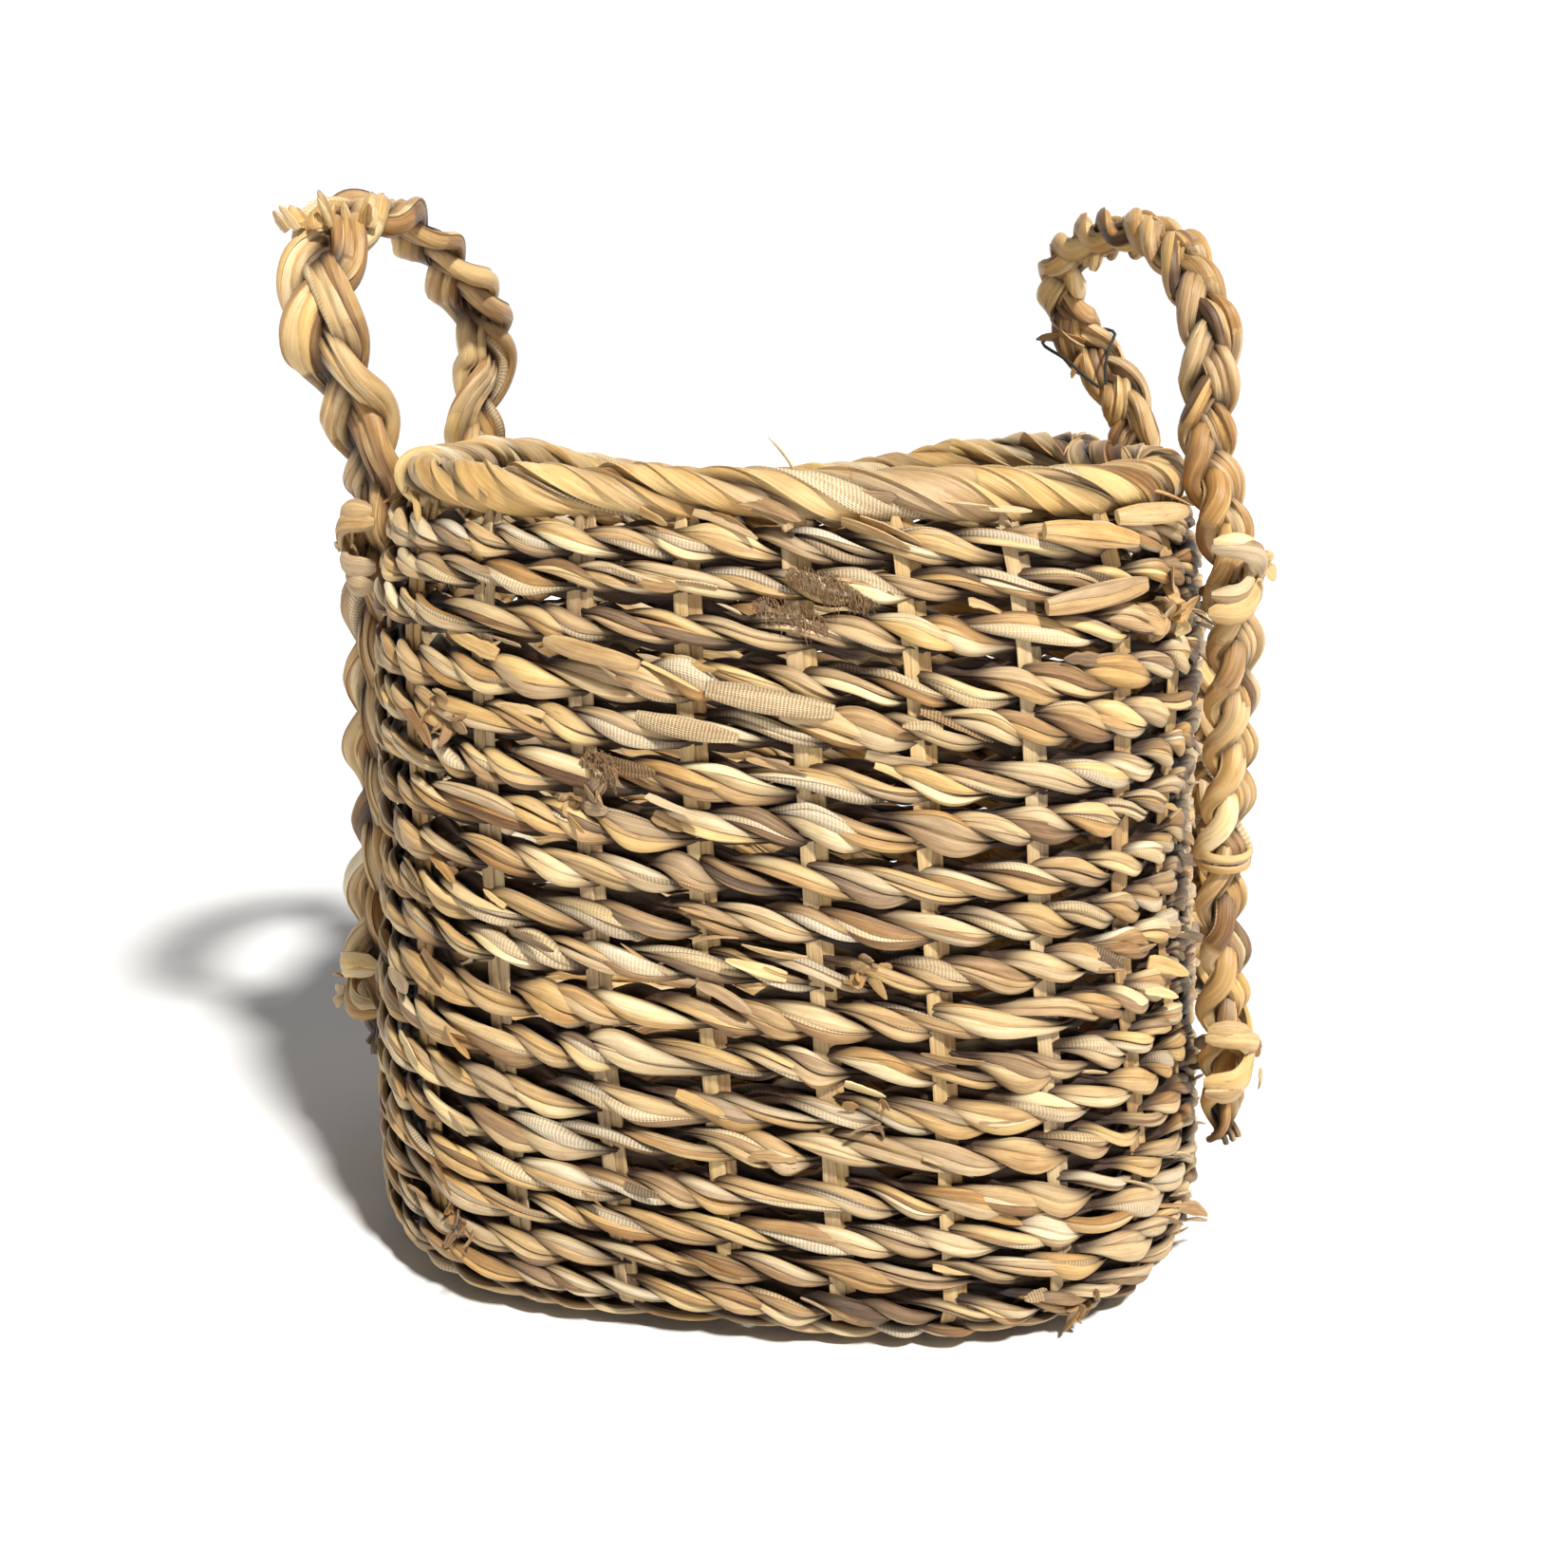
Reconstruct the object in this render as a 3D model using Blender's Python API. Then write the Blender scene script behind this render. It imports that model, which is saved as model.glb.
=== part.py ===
"""Seagrass storage basket: a rounded square body twined in courses round double leaf stakes,
a thick cable rim, and two plaited handles whose legs are lashed to the outside of the walls.

Metres. +X is to the right, +Y is away, +Z is up. The basket stands on z = 0.
"""

import math

import bmesh
import bpy
from mathutils import Vector

# ---- overall shape of the body
SQUARENESS = 3.1  # exponent of the rounded square plan: 2 is a circle
# The middle of the wall, from the edge of the base to the top of the stakes: (half width, height)
WALL = (
    (0.1220, 0.0064),
    (0.1350, 0.0068),
    (0.1425, 0.0100),
    (0.1455, 0.0165),
    (0.1462, 0.0280),
    (0.1460, 0.1000),
    (0.1440, 0.1400),
    (0.1420, 0.1900),
    (0.1390, 0.2250),
    (0.1350, 0.2480),
    (0.1308, 0.2612),
)
BACK_DIP = 0.018  # how far the rim sags at the back, left of the middle
SIDE_PULL = 0.022  # how far the right handle's back leg draws the rim inwards
# Where each side is pressed in at mid height: which way, the middle turn, and how far
DENTS = ((-1, 0.93, 0.0075), (1, 0.57, 0.0035))
DENT_REACH = 0.13
DENT_LEVEL, DENT_HALF_HEIGHT = 0.140, 0.110
LEAN = 0.019  # sideways lean of the stakes from floor to rim, as a fraction of one turn

# ---- stakes
STAKES = 28  # uprights round the basket, seven to a side
STAKE_WIDE = 0.0040  # half the width of the double leaf strip
STAKE_THICK = 0.00125
LOWER_LAYER = 0.0047  # height of the stakes that run front to back, under the base
UPPER_LAYER = 0.0075  # height of the stakes that run left to right

# ---- weft courses
COURSES = 20
PITCH = 0.01475
PITCH_AT_FLOOR = 0.0098
PITCH_AT_RIM = 0.0118
FIRST_COURSE = 0.0085  # distance along the wall from the edge of the base
COURSE_FILL = 0.40  # half the height of a course, as a fraction of the pitch
COURSE_OUT = 0.0063
COURSE_IN = 0.0060
CLEARANCE = 0.0003

# ---- rim
RIM_RADIUS = 0.1275
RIM_LEVEL = 0.2705
RIM_HALF_HEIGHT = 0.0074
RIM_HALF_DEPTH = 0.0085
RIM_SIDES = 6
RIM_RINGS = 42

# ---- base plates
BASE_RADIUS = 0.1180
UNDER_THICK = 0.0031
UPPER_FLOOR = 0.00905
UPPER_THICK = 0.0030

# ---- handles: the middle of each loop, from the front leg's pivot to the back leg's pivot
PIVOT_LEVEL = 0.2900
BALL = 0.0080
LEFT_LOOP = (
    (-0.1465, -0.057, PIVOT_LEVEL),
    (-0.152, -0.068, 0.315),
    (-0.156, -0.060, 0.338),
    (-0.157, -0.035, 0.355),
    (-0.153, -0.008, 0.359),
    (-0.147, 0.018, 0.351),
    (-0.141, 0.042, 0.336),
    (-0.139, 0.058, 0.318),
    (-0.139, 0.062, 0.304),
    (-0.142, 0.055, PIVOT_LEVEL),
)
RIGHT_LOOP = (
    (0.138, -0.060, PIVOT_LEVEL),
    (0.138, -0.062, 0.308),
    (0.135, -0.055, 0.325),
    (0.128, -0.038, 0.341),
    (0.118, -0.012, 0.350),
    (0.107, 0.012, 0.351),
    (0.096, 0.034, 0.347),
    (0.091, 0.050, 0.337),
    (0.094, 0.060, 0.324),
    (0.102, 0.062, 0.312),
    (0.112, 0.059, 0.301),
    (0.1195, 0.055, PIVOT_LEVEL),
)
LEFT_WIDE, LEFT_THICK = 0.0130, 0.0085
RIGHT_WIDE, RIGHT_THICK = 0.0092, 0.0085

# ---- fixed legs, lashed to the outside of the walls
LEG_TOP = PIVOT_LEVEL - BALL - 0.0008  # a gap below the ball
LEG_WIDE, LEG_THICK = 0.0095, 0.0066
LEG_FOOT = 0.045
LASHING_STEPS = 7
KNOT_HIGH, KNOT_LOW = 0.243, 0.082
BOW = 0.0036  # how far the right front leg hangs away from the wall
LEG_GAP = 0.0008
LEG_STEPS = 12
LEG_BEND = 0.035  # the length over which a leg shifts sideways to where it hangs
NECK = 0.007  # the length over which a leg bends in from its pivot to the wall

# ---- a thin black loop of thread round the right handle's back leg
THREAD_RADIUS = 0.0006
THREAD_ROUTE = (
    (0.1065, 0.0487, 0.2975),
    (0.1015, 0.0495, 0.3010),
    (0.0940, 0.0502, 0.3075),
    (0.0880, 0.0545, 0.3110),
    (0.0845, 0.0630, 0.3140),
    (0.0900, 0.0715, 0.3170),
    (0.1000, 0.0735, 0.3190),
    (0.1090, 0.0690, 0.3190),
    (0.1120, 0.0600, 0.3170),
    (0.1100, 0.0510, 0.3130),
    (0.1085, 0.0480, 0.3060),
    (0.1090, 0.0465, 0.2985),
)

STRAW = (0.62, 0.46, 0.25)
PALE = (0.72, 0.60, 0.38)
BROWN = (0.45, 0.31, 0.16)
BLACK = (0.012, 0.012, 0.012)

for old in list(bpy.data.objects):
    bpy.data.objects.remove(old, do_unlink=True)

basket = bpy.data.collections.new("seagrass_storage_basket")
bpy.context.scene.collection.children.link(basket)


# ---------------------------------------------------------------- helpers


def material(name, colour, roughness):
    made = bpy.data.materials.new(name)
    made.use_nodes = True
    shader = made.node_tree.nodes["Principled BSDF"]
    shader.inputs["Base Color"].default_value = (*colour, 1.0)
    shader.inputs["Roughness"].default_value = roughness
    shader.inputs["Metallic"].default_value = 0.0
    return made


def add(name, points, faces, colour=STRAW, roughness=0.75, origin=(0.0, 0.0, 0.0)):
    """One closed piece, its faces turned outwards."""
    mesh = bpy.data.meshes.new(name)
    shape = bmesh.new()
    origin = Vector(origin)
    corners = [shape.verts.new(Vector(point) - origin) for point in points]
    for face in faces:
        shape.faces.new([corners[index] for index in face])
    bmesh.ops.recalc_face_normals(shape, faces=shape.faces)
    shape.to_mesh(mesh)
    shape.free()
    mesh.materials.append(material(name, colour, roughness))
    made = bpy.data.objects.new(name, mesh)
    made.location = origin
    basket.objects.link(made)
    return made


def loft(name, rings, closed=False, **look):
    """A skin over a row of rings that have the same number of points."""
    points = [point for ring in rings for point in ring]
    sides = len(rings[0])
    faces = []
    last = len(rings) if closed else len(rings) - 1
    for i in range(last):
        here = i * sides
        there = ((i + 1) % len(rings)) * sides
        for j in range(sides):
            k = (j + 1) % sides
            faces.append((here + j, here + k, there + k, there + j))
    if not closed:
        faces.append(tuple(range(sides)))
        faces.append(tuple(range((len(rings) - 1) * sides, len(rings) * sides)))
    return add(name, points, faces, **look)


def curve_piece(name, points, closed, colour, roughness, flat=False, bevel=0.0, extrude=0.0):
    """A flat outline with a thickness, or a round strand along a path."""
    curve = bpy.data.curves.new(name, "CURVE")
    curve.dimensions = "2D" if flat else "3D"
    curve.fill_mode = "BOTH" if flat else "FULL"
    curve.extrude = extrude
    curve.bevel_depth = bevel
    curve.bevel_resolution = 0 if flat else 2
    curve.use_fill_caps = not closed
    spline = curve.splines.new("POLY")
    spline.points.add(len(points) - 1)
    for spot, point in zip(spline.points, points):
        spot.co = (*point, 1.0)
    spline.use_cyclic_u = closed
    curve.materials.append(material(name, colour, roughness))
    made = bpy.data.objects.new(name, curve)
    basket.objects.link(made)
    return made


def smooth_path(points, steps):
    """Points of a smooth curve through the given ones."""
    points = [Vector(point) for point in points]
    ends = [2 * points[0] - points[1]] + points + [2 * points[-1] - points[-2]]
    found = []
    for i in range(1, len(ends) - 2):
        before, a, b, after = ends[i - 1 : i + 3]
        for step in range(steps):
            t = step / steps
            found.append(
                0.5
                * (
                    2 * a
                    + (b - before) * t
                    + (2 * before - 5 * a + 4 * b - after) * t * t
                    + (3 * a - before - 3 * b + after) * t * t * t
                )
            )
    found.append(points[-1])
    return found


def section(centre, along, wide_way, wide, thick, sides=8):
    """An oval ring across a path."""
    along = along.normalized()
    across = (wide_way - along * wide_way.dot(along)).normalized()
    other = along.cross(across)
    ring = []
    for i in range(sides):
        turn = 2 * math.pi * (i + 0.5) / sides
        ring.append(centre + across * wide * math.cos(turn) + other * thick * math.sin(turn))
    return ring


def ramp(value, start, end):
    t = min(1.0, max(0.0, (value - start) / (end - start)))
    return t * t * (3 - 2 * t)


def bump(offset, reach):
    """One at the middle, falling smoothly to nothing at the reach."""
    if abs(offset) >= reach:
        return 0.0
    return math.cos(0.5 * math.pi * offset / reach) ** 2


# ---------------------------------------------------------------- the body's surface


def plan_point(angle):
    c, s = math.cos(angle), math.sin(angle)
    reach = (abs(c) ** SQUARENESS + abs(s) ** SQUARENESS) ** (-1 / SQUARENESS)
    return reach * c, reach * s


PLAN_STEPS = 1440
plan = [plan_point(2 * math.pi * i / PLAN_STEPS) for i in range(PLAN_STEPS + 1)]
travel = [0.0]
for first, second in zip(plan, plan[1:]):
    travel.append(travel[-1] + math.dist(first, second))


def plan_at(turn):
    """The unit plan at a fraction of one trip round it, which starts on +X and goes anticlockwise."""
    wanted = (turn % 1.0) * travel[-1]
    low, high = 0, PLAN_STEPS
    while high - low > 1:
        middle = (low + high) // 2
        if travel[middle] <= wanted:
            low = middle
        else:
            high = middle
    share = (wanted - travel[low]) / (travel[high] - travel[low])
    return tuple(a + (b - a) * share for a, b in zip(plan[low], plan[high]))


def off_centre(turn, middle):
    return (turn - middle + 0.5) % 1.0 - 0.5


def place(turn, radius, height):
    """A point at this half width and height, with the hand-made unevenness of the top."""
    x, y = plan_at(turn)
    high = ramp(height, 0.150, 0.270)
    dip = BACK_DIP * bump(off_centre(turn, 0.30), 0.17) * high
    pull = SIDE_PULL * bump(off_centre(turn, 0.062), 0.075) * high
    for way, middle, amount in DENTS:
        side = bump(off_centre(turn, middle), DENT_REACH)
        pull -= way * amount * side * bump(height - DENT_LEVEL, DENT_HALF_HEIGHT)
    return Vector((x * radius - pull, y * radius, height - dip))


wall_travel = [0.0]
for first, second in zip(WALL, WALL[1:]):
    wall_travel.append(wall_travel[-1] + math.dist(first, second))
WALL_LENGTH = wall_travel[-1]


def wall_at(distance):
    distance = min(WALL_LENGTH, max(0.0, distance))
    for i in range(1, len(WALL)):
        if distance <= wall_travel[i] or i == len(WALL) - 1:
            share = (distance - wall_travel[i - 1]) / (wall_travel[i] - wall_travel[i - 1])
            return tuple(a + (b - a) * share for a, b in zip(WALL[i - 1], WALL[i]))


def wall_point(turn, distance, out):
    """A point of the wall, this far out from its middle."""
    radius, height = wall_at(distance)
    r0, z0 = wall_at(distance - 0.004)
    r1, z1 = wall_at(distance + 0.004)
    length = math.dist((r0, z0), (r1, z1))
    radius += out * (z1 - z0) / length
    height -= out * (r1 - r0) / length
    return place(turn, radius, height)


def leaned(upright, distance):
    return upright / STAKES - LEAN * distance / WALL_LENGTH


# ---------------------------------------------------------------- heights of the courses

levels = [FIRST_COURSE]
for i in range(COURSES - 1):
    step = min(PITCH, PITCH_AT_FLOOR + 0.0009 * i, PITCH_AT_RIM + 0.0015 * (COURSES - 2 - i))
    levels.append(levels[-1] + step)
pitches = [levels[min(i + 1, COURSES - 1)] - levels[min(i, COURSES - 2)] for i in range(COURSES)]
spans = [
    (level - COURSE_FILL * pitch, level + COURSE_FILL * pitch)
    for level, pitch in zip(levels, pitches)
]
breaks = [0.0]
for i, span in enumerate(spans):
    if i < 4 or i % 4 == 0:
        breaks.append(span[0])
breaks.append(WALL_LENGTH)


def strip_corners(upright, distance, wide, thick):
    """The four corners of a stake's section where the stake has a bend. Its strip doesn't twist."""
    turn = leaned(upright, distance)
    middle = wall_point(turn, distance, 0.0)
    level = 0.45 * WALL_LENGTH
    facing = leaned(upright, level)
    sideways = wall_point(facing + 0.002, level, 0.0) - wall_point(facing - 0.002, level, 0.0)
    sideways.normalize()
    outwards = wall_point(turn, distance, 0.002) - wall_point(turn, distance, -0.002)
    outwards = (outwards - sideways * outwards.dot(sideways)).normalized()
    return [
        middle + sideways * a * wide + outwards * b * thick
        for a, b in ((-1, -1), (1, -1), (1, 1), (-1, 1))
    ]


def strip_section(upright, distance, wide, thick):
    """The stake's section anywhere along it: the stake is straight between its bends."""
    for low, high in zip(breaks, breaks[1:]):
        if distance <= high + 1e-9:
            share = (distance - low) / (high - low)
            ends = (
                strip_corners(upright, low, wide, thick),
                strip_corners(upright, high, wide, thick),
            )
            return [a.lerp(b, share) for a, b in zip(*ends)]


# ---------------------------------------------------------------- stakes


def stake(name, first, second, layer, colour):
    """A leaf strip that runs up one wall, under the base and up the opposite wall."""
    rings = []
    for distance in reversed(breaks):
        rings.append(strip_section(first, distance, STAKE_WIDE, STAKE_THICK))
    near, far = rings[-1], strip_section(second, 0.0, STAKE_WIDE, STAKE_THICK)
    inwards = (sum(far, Vector()) - sum(near, Vector())) / 4
    inwards.z = 0
    length = inwards.length
    inwards.normalize()
    sideways = (near[1] - near[0]).normalized()
    for run in (0.012, length - 0.012):
        middle = sum(near, Vector()) / 4 + inwards * run
        middle.z = layer
        rings.append(
            [
                middle + sideways * a * STAKE_WIDE - Vector((0, 0, b * STAKE_THICK))
                for a, b in ((-1, -1), (1, -1), (1, 1), (-1, 1))
            ]
        )
    for distance in breaks:
        corners = strip_section(second, distance, STAKE_WIDE, STAKE_THICK)
        rings.append([corners[1], corners[0], corners[3], corners[2]])
    loft(name, rings, colour=colour, roughness=0.7)


for j in range(-3, 4):
    stake(f"stake_front_back_{j + 4}", 21 + j, 7 - j, LOWER_LAYER, PALE)
    stake(f"stake_left_right_{j + 4}", j, 14 - j, UPPER_LAYER, PALE)


# ---------------------------------------------------------------- weft courses


def course(name, span, colour):
    """A twined pair of strands: one band with a slot for every stake."""
    points = []
    for distance in span:
        for k in range(STAKES):
            turn = leaned(k, distance)
            slot = strip_section(k, distance, STAKE_WIDE + CLEARANCE, STAKE_THICK + CLEARANCE)
            points.append(wall_point(turn, distance, COURSE_OUT))
            points.append(wall_point(turn, distance, -COURSE_IN))
            points.extend(slot)  # inner left, inner right, outer right, outer left
    faces = []
    per_end = 6 * STAKES
    for k in range(STAKES):
        here, there = 6 * k, 6 * ((k + 1) % STAKES)
        out_0, in_0, _, slot_in_0, slot_out_0, _ = range(here, here + 6)
        out_1, in_1, slot_in_1, _, _, slot_out_1 = range(there, there + 6)
        for lift in (0, per_end):
            faces.append([i + lift for i in (out_0, out_1, slot_out_1, slot_out_0)])
            faces.append([i + lift for i in (slot_out_0, slot_out_1, slot_in_1, slot_in_0)])
            faces.append([i + lift for i in (slot_in_0, slot_in_1, in_1, in_0)])
            faces.append([i + lift for i in (here, here + 4, here + 5)])
            faces.append([i + lift for i in (here + 1, here + 2, here + 3)])
        faces.append((out_0, out_1, out_1 + per_end, out_0 + per_end))
        faces.append((in_0, in_1, in_1 + per_end, in_0 + per_end))
        for a, b in ((2, 3), (3, 4), (4, 5), (5, 2)):
            faces.append((here + a, here + b, here + b + per_end, here + a + per_end))
    add(name, points, faces, colour=colour, roughness=0.8)


for i, span in enumerate(spans):
    shade = 0.92 + 0.1 * math.sin(2.3 * i)
    colour = tuple(channel * shade for channel in STRAW)
    course(f"weft_course_{COURSES - i:02d}", span, colour)


# ---------------------------------------------------------------- rim

rim_rings = []
for i in range(RIM_RINGS):
    ring = []
    for j in range(RIM_SIDES):
        turn = 2 * math.pi * j / RIM_SIDES
        radius = RIM_RADIUS + RIM_HALF_DEPTH * math.cos(turn)
        height = RIM_LEVEL + RIM_HALF_HEIGHT * math.sin(turn) / math.sin(math.pi / 3)
        ring.append(place(i / RIM_RINGS, radius, height))
    rim_rings.append(ring)
loft("rim_border", rim_rings, closed=True, colour=PALE, roughness=0.75)


# ---------------------------------------------------------------- base


def base_plate(name, bottom, thickness, colour):
    outline = [plan_at(k / STAKES) for k in range(STAKES)]
    outline = [(x * BASE_RADIUS, y * BASE_RADIUS, 0.0) for x, y in outline]
    plate = curve_piece(name, outline, True, colour, 0.85, flat=True, extrude=thickness / 2)
    plate.location.z = bottom + thickness / 2


base_plate("base_under", 0.0, UNDER_THICK, BROWN)
base_plate("base_upper", UPPER_FLOOR, UPPER_THICK, STRAW)


# ---------------------------------------------------------------- handles


def handle_loop(name, points, wide, thick, colour):
    """An arch of flat plait. Each leg ends in a ball centred on the hinge line."""
    path = smooth_path(points, 2)
    wide_way = Vector((1, 0, 0))
    rings = []
    count = len(path)
    for i, centre in enumerate(path):
        along = path[min(i + 1, count - 1)] - path[max(i - 1, 0)]
        if i == 0 or i == count - 1:
            along = Vector((0, 0, 1 if i == 0 else -1))
        from_end = ramp(min(centre.z - PIVOT_LEVEL, 0.022), 0.0, 0.022)
        a = BALL + (wide - BALL) * from_end
        b = BALL + (thick - BALL) * from_end
        rings.append(section(centre, along, wide_way, a, b))
    up = Vector((0, 0, 1))
    for angle in (35, 65):
        turn = math.radians(angle)
        drop = up * BALL * math.sin(turn)
        size = BALL * math.cos(turn)
        rings.insert(0, section(path[0] - drop, up, wide_way, size, size))
        rings.append(section(path[-1] - drop, -up, wide_way, size, size))
    middle = (path[0] + path[-1]) / 2
    loft(name, rings, colour=colour, roughness=0.7, origin=middle)


handle_loop("left_handle_loop", LEFT_LOOP, LEFT_WIDE, LEFT_THICK, STRAW)
handle_loop("right_handle_loop", RIGHT_LOOP, RIGHT_WIDE, RIGHT_THICK, STRAW)


# ---------------------------------------------------------------- fixed legs


def outer_radius(height):
    """Half width of the outside of the body at this height."""
    if height > RIM_LEVEL - RIM_HALF_HEIGHT - 0.004:
        return RIM_RADIUS + RIM_HALF_DEPTH + 0.0006
    for (r0, z0), (r1, z1) in zip(WALL, WALL[1:]):
        if z0 <= height <= z1:
            return r0 + (r1 - r0) * (height - z0) / (z1 - z0) + COURSE_OUT
    return WALL[-1][0] + COURSE_OUT


def outside_x(side, y, height):
    """How far the outside of the body reaches on this side, at this depth and about this height."""
    found = 0.0
    for change in (-0.008, -0.004, 0.0, 0.004, 0.008):
        radius = outer_radius(height + change)
        for i in range(-60, 61):
            turn = (0.0 if side > 0 else 0.5) + 0.002 * i
            point = place(turn, radius, height + change)
            if abs(point.y - y) < 0.0085:
                found = max(found, side * point.x)
    return side * found


def leg_centre(side, y_top, y_foot, height, bow):
    y = y_top + (y_foot - y_top) * ramp(LEG_TOP - height, 0.0, LEG_BEND)
    away = bow * math.sin(math.pi * min(1, max(0, (KNOT_HIGH - height) / (KNOT_HIGH - KNOT_LOW))))
    return Vector((outside_x(side, y, height) + side * (LEG_THICK + LEG_GAP + away), y, height))


def fixed_leg(name, side, pivot, y_foot, bow, colour):
    """The plait carries on below its handle, down the outside of the wall, and thins to a tail."""
    rings = []
    centres = []
    for i in range(LEG_STEPS + 1):
        height = LEG_TOP + (LEG_FOOT - LEG_TOP) * (i / LEG_STEPS) ** 1.1
        centre = leg_centre(side, pivot[1], y_foot, height, bow)
        near_top = 1 - ramp(LEG_TOP - height, 0.0, NECK)
        centre.x += (pivot[0] - centre.x) * near_top
        centres.append(centre)
    for i, centre in enumerate(centres):
        along = centres[min(i + 1, LEG_STEPS)] - centres[max(i - 1, 0)]
        if i == 0:
            along = Vector((0, 0, -1))
        tail = 1 - 0.45 * ramp(KNOT_LOW - centre.z, 0.005, 0.035)
        neck = 1 - 0.20 * (1 - ramp(LEG_TOP - centre.z, 0.0, 0.02))
        ring = section(centre, along, Vector((0, 1, 0)), LEG_WIDE * tail * neck, LEG_THICK * tail)
        rings.append(ring)
    loft(name, rings, colour=colour, roughness=0.75)


def lashing(name, side, pivot, y_foot, height, strand, colour):
    """A strand that crosses over the leg, from the wall on one side of it to the wall on the other."""
    middle = leg_centre(side, pivot[1], y_foot, height, 0.0)
    wall = abs(middle.x) - LEG_THICK
    reach = 2 * LEG_THICK + strand + LEG_GAP
    half_span = LEG_WIDE + strand + 0.0022
    points = []
    for i in range(LASHING_STEPS + 1):
        turn = math.pi * i / LASHING_STEPS
        x = wall + strand + (reach - strand) * math.sin(turn) ** 0.6
        points.append((side * x, middle.y - half_span * math.cos(turn), height))
    curve_piece(name, points, False, colour, 0.8, bevel=strand)


legs = (
    ("left_front", -1, LEFT_LOOP[0], -0.042, 0.0),
    ("left_back", -1, LEFT_LOOP[-1], 0.062, 0.0),
    ("right_front", 1, RIGHT_LOOP[0], -0.074, BOW),
    ("right_back", 1, RIGHT_LOOP[-1], 0.062, 0.0),
)
for name, side, pivot, y_foot, bow in legs:
    fixed_leg(f"{name}_leg", side, pivot, y_foot, bow, STRAW)
    lashing(f"{name}_upper_lashing", side, pivot, y_foot, KNOT_HIGH, 0.0032, PALE)
    lashing(f"{name}_lower_lashing", side, pivot, y_foot, KNOT_LOW, 0.0036, PALE)


# ---------------------------------------------------------------- tag thread

curve_piece("tag_thread", smooth_path(THREAD_ROUTE, 2), False, BLACK, 0.5, bevel=THREAD_RADIUS)
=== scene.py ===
"""The looks of the seagrass storage basket: every leaf of its twined walls, cable rim, plaited
handles and lashings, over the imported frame. Metres, in the frame of the CAD model."""

import math

import bpy
import numpy as np
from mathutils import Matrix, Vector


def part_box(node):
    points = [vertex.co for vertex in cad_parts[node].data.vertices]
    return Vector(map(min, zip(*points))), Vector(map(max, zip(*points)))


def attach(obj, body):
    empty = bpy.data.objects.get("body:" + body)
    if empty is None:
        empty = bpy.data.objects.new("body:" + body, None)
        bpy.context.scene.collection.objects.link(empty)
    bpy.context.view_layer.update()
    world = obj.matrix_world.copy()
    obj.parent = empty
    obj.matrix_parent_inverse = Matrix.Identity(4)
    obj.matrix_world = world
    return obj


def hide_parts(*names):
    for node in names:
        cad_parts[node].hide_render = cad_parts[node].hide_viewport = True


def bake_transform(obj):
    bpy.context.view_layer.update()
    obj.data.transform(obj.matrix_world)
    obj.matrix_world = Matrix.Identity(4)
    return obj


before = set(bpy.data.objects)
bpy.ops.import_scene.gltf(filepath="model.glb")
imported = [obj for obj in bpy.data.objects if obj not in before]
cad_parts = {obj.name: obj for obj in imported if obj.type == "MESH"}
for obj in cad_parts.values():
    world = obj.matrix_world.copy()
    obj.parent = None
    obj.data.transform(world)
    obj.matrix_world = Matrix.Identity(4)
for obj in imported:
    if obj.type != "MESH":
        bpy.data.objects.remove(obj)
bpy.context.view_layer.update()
UP = np.array((0.0, 0.0, 1.0))

# ---------------------------------------------------------------- camera, floor and lights

VIEW_TURN = math.radians(8.37)  # the camera stands this far round to the right
VIEW_PITCH = math.radians(14.01)
VIEW_PLACE = (0.0873, -0.6439, 0.3122)
VIEW_LENS = 40.19


def make_camera():
    data = bpy.data.cameras.new("camera")
    data.lens = VIEW_LENS
    data.sensor_width = 36.0
    data.clip_start = 0.01
    camera = bpy.data.objects.new("camera", data)
    camera.location = VIEW_PLACE
    camera.rotation_euler = (math.pi / 2 - VIEW_PITCH, 0.0, VIEW_TURN)
    bpy.context.scene.collection.objects.link(camera)
    bpy.context.scene.camera = camera


def smooth_range(tree, value, before, after, low, high):
    """A shader value that goes smoothly from low, up to before, to high, from after on."""
    made = tree.nodes.new("ShaderNodeMapRange")
    made.interpolation_type = "SMOOTHSTEP"
    limits = {"From Min": before, "From Max": after, "To Min": low, "To Max": high}
    for title, limit in limits.items():
        made.inputs[title].default_value = limit
    tree.links.new(value, made.inputs["Value"])
    return made.outputs["Result"]


def make_stage():
    """A pale floor that glows a little far off, so that it meets the backdrop in white."""
    bpy.ops.mesh.primitive_plane_add(size=12.0, location=(0.0, 0.0, -0.0004))
    floor = bpy.context.object
    floor.name = "floor"
    paint = bpy.data.materials.new("floor")
    paint.use_nodes = True
    tree = paint.node_tree
    shader = tree.nodes["Principled BSDF"]
    shader.inputs["Base Color"].default_value = (0.84, 0.84, 0.84, 1.0)
    shader.inputs["Roughness"].default_value = 0.9
    shader.inputs["Specular IOR Level"].default_value = 0.1
    shader.inputs["Emission Color"].default_value = (1.0, 1.0, 1.0, 1.0)
    spot = tree.nodes.new("ShaderNodeNewGeometry")
    reach = tree.nodes.new("ShaderNodeVectorMath")
    reach.operation = "LENGTH"
    tree.links.new(spot.outputs["Position"], reach.inputs[0])
    glow = smooth_range(tree, reach.outputs["Value"], 0.35, 1.6, 0.0, 0.75)
    tree.links.new(glow, shader.inputs["Emission Strength"])
    floor.data.materials.append(paint)


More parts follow.
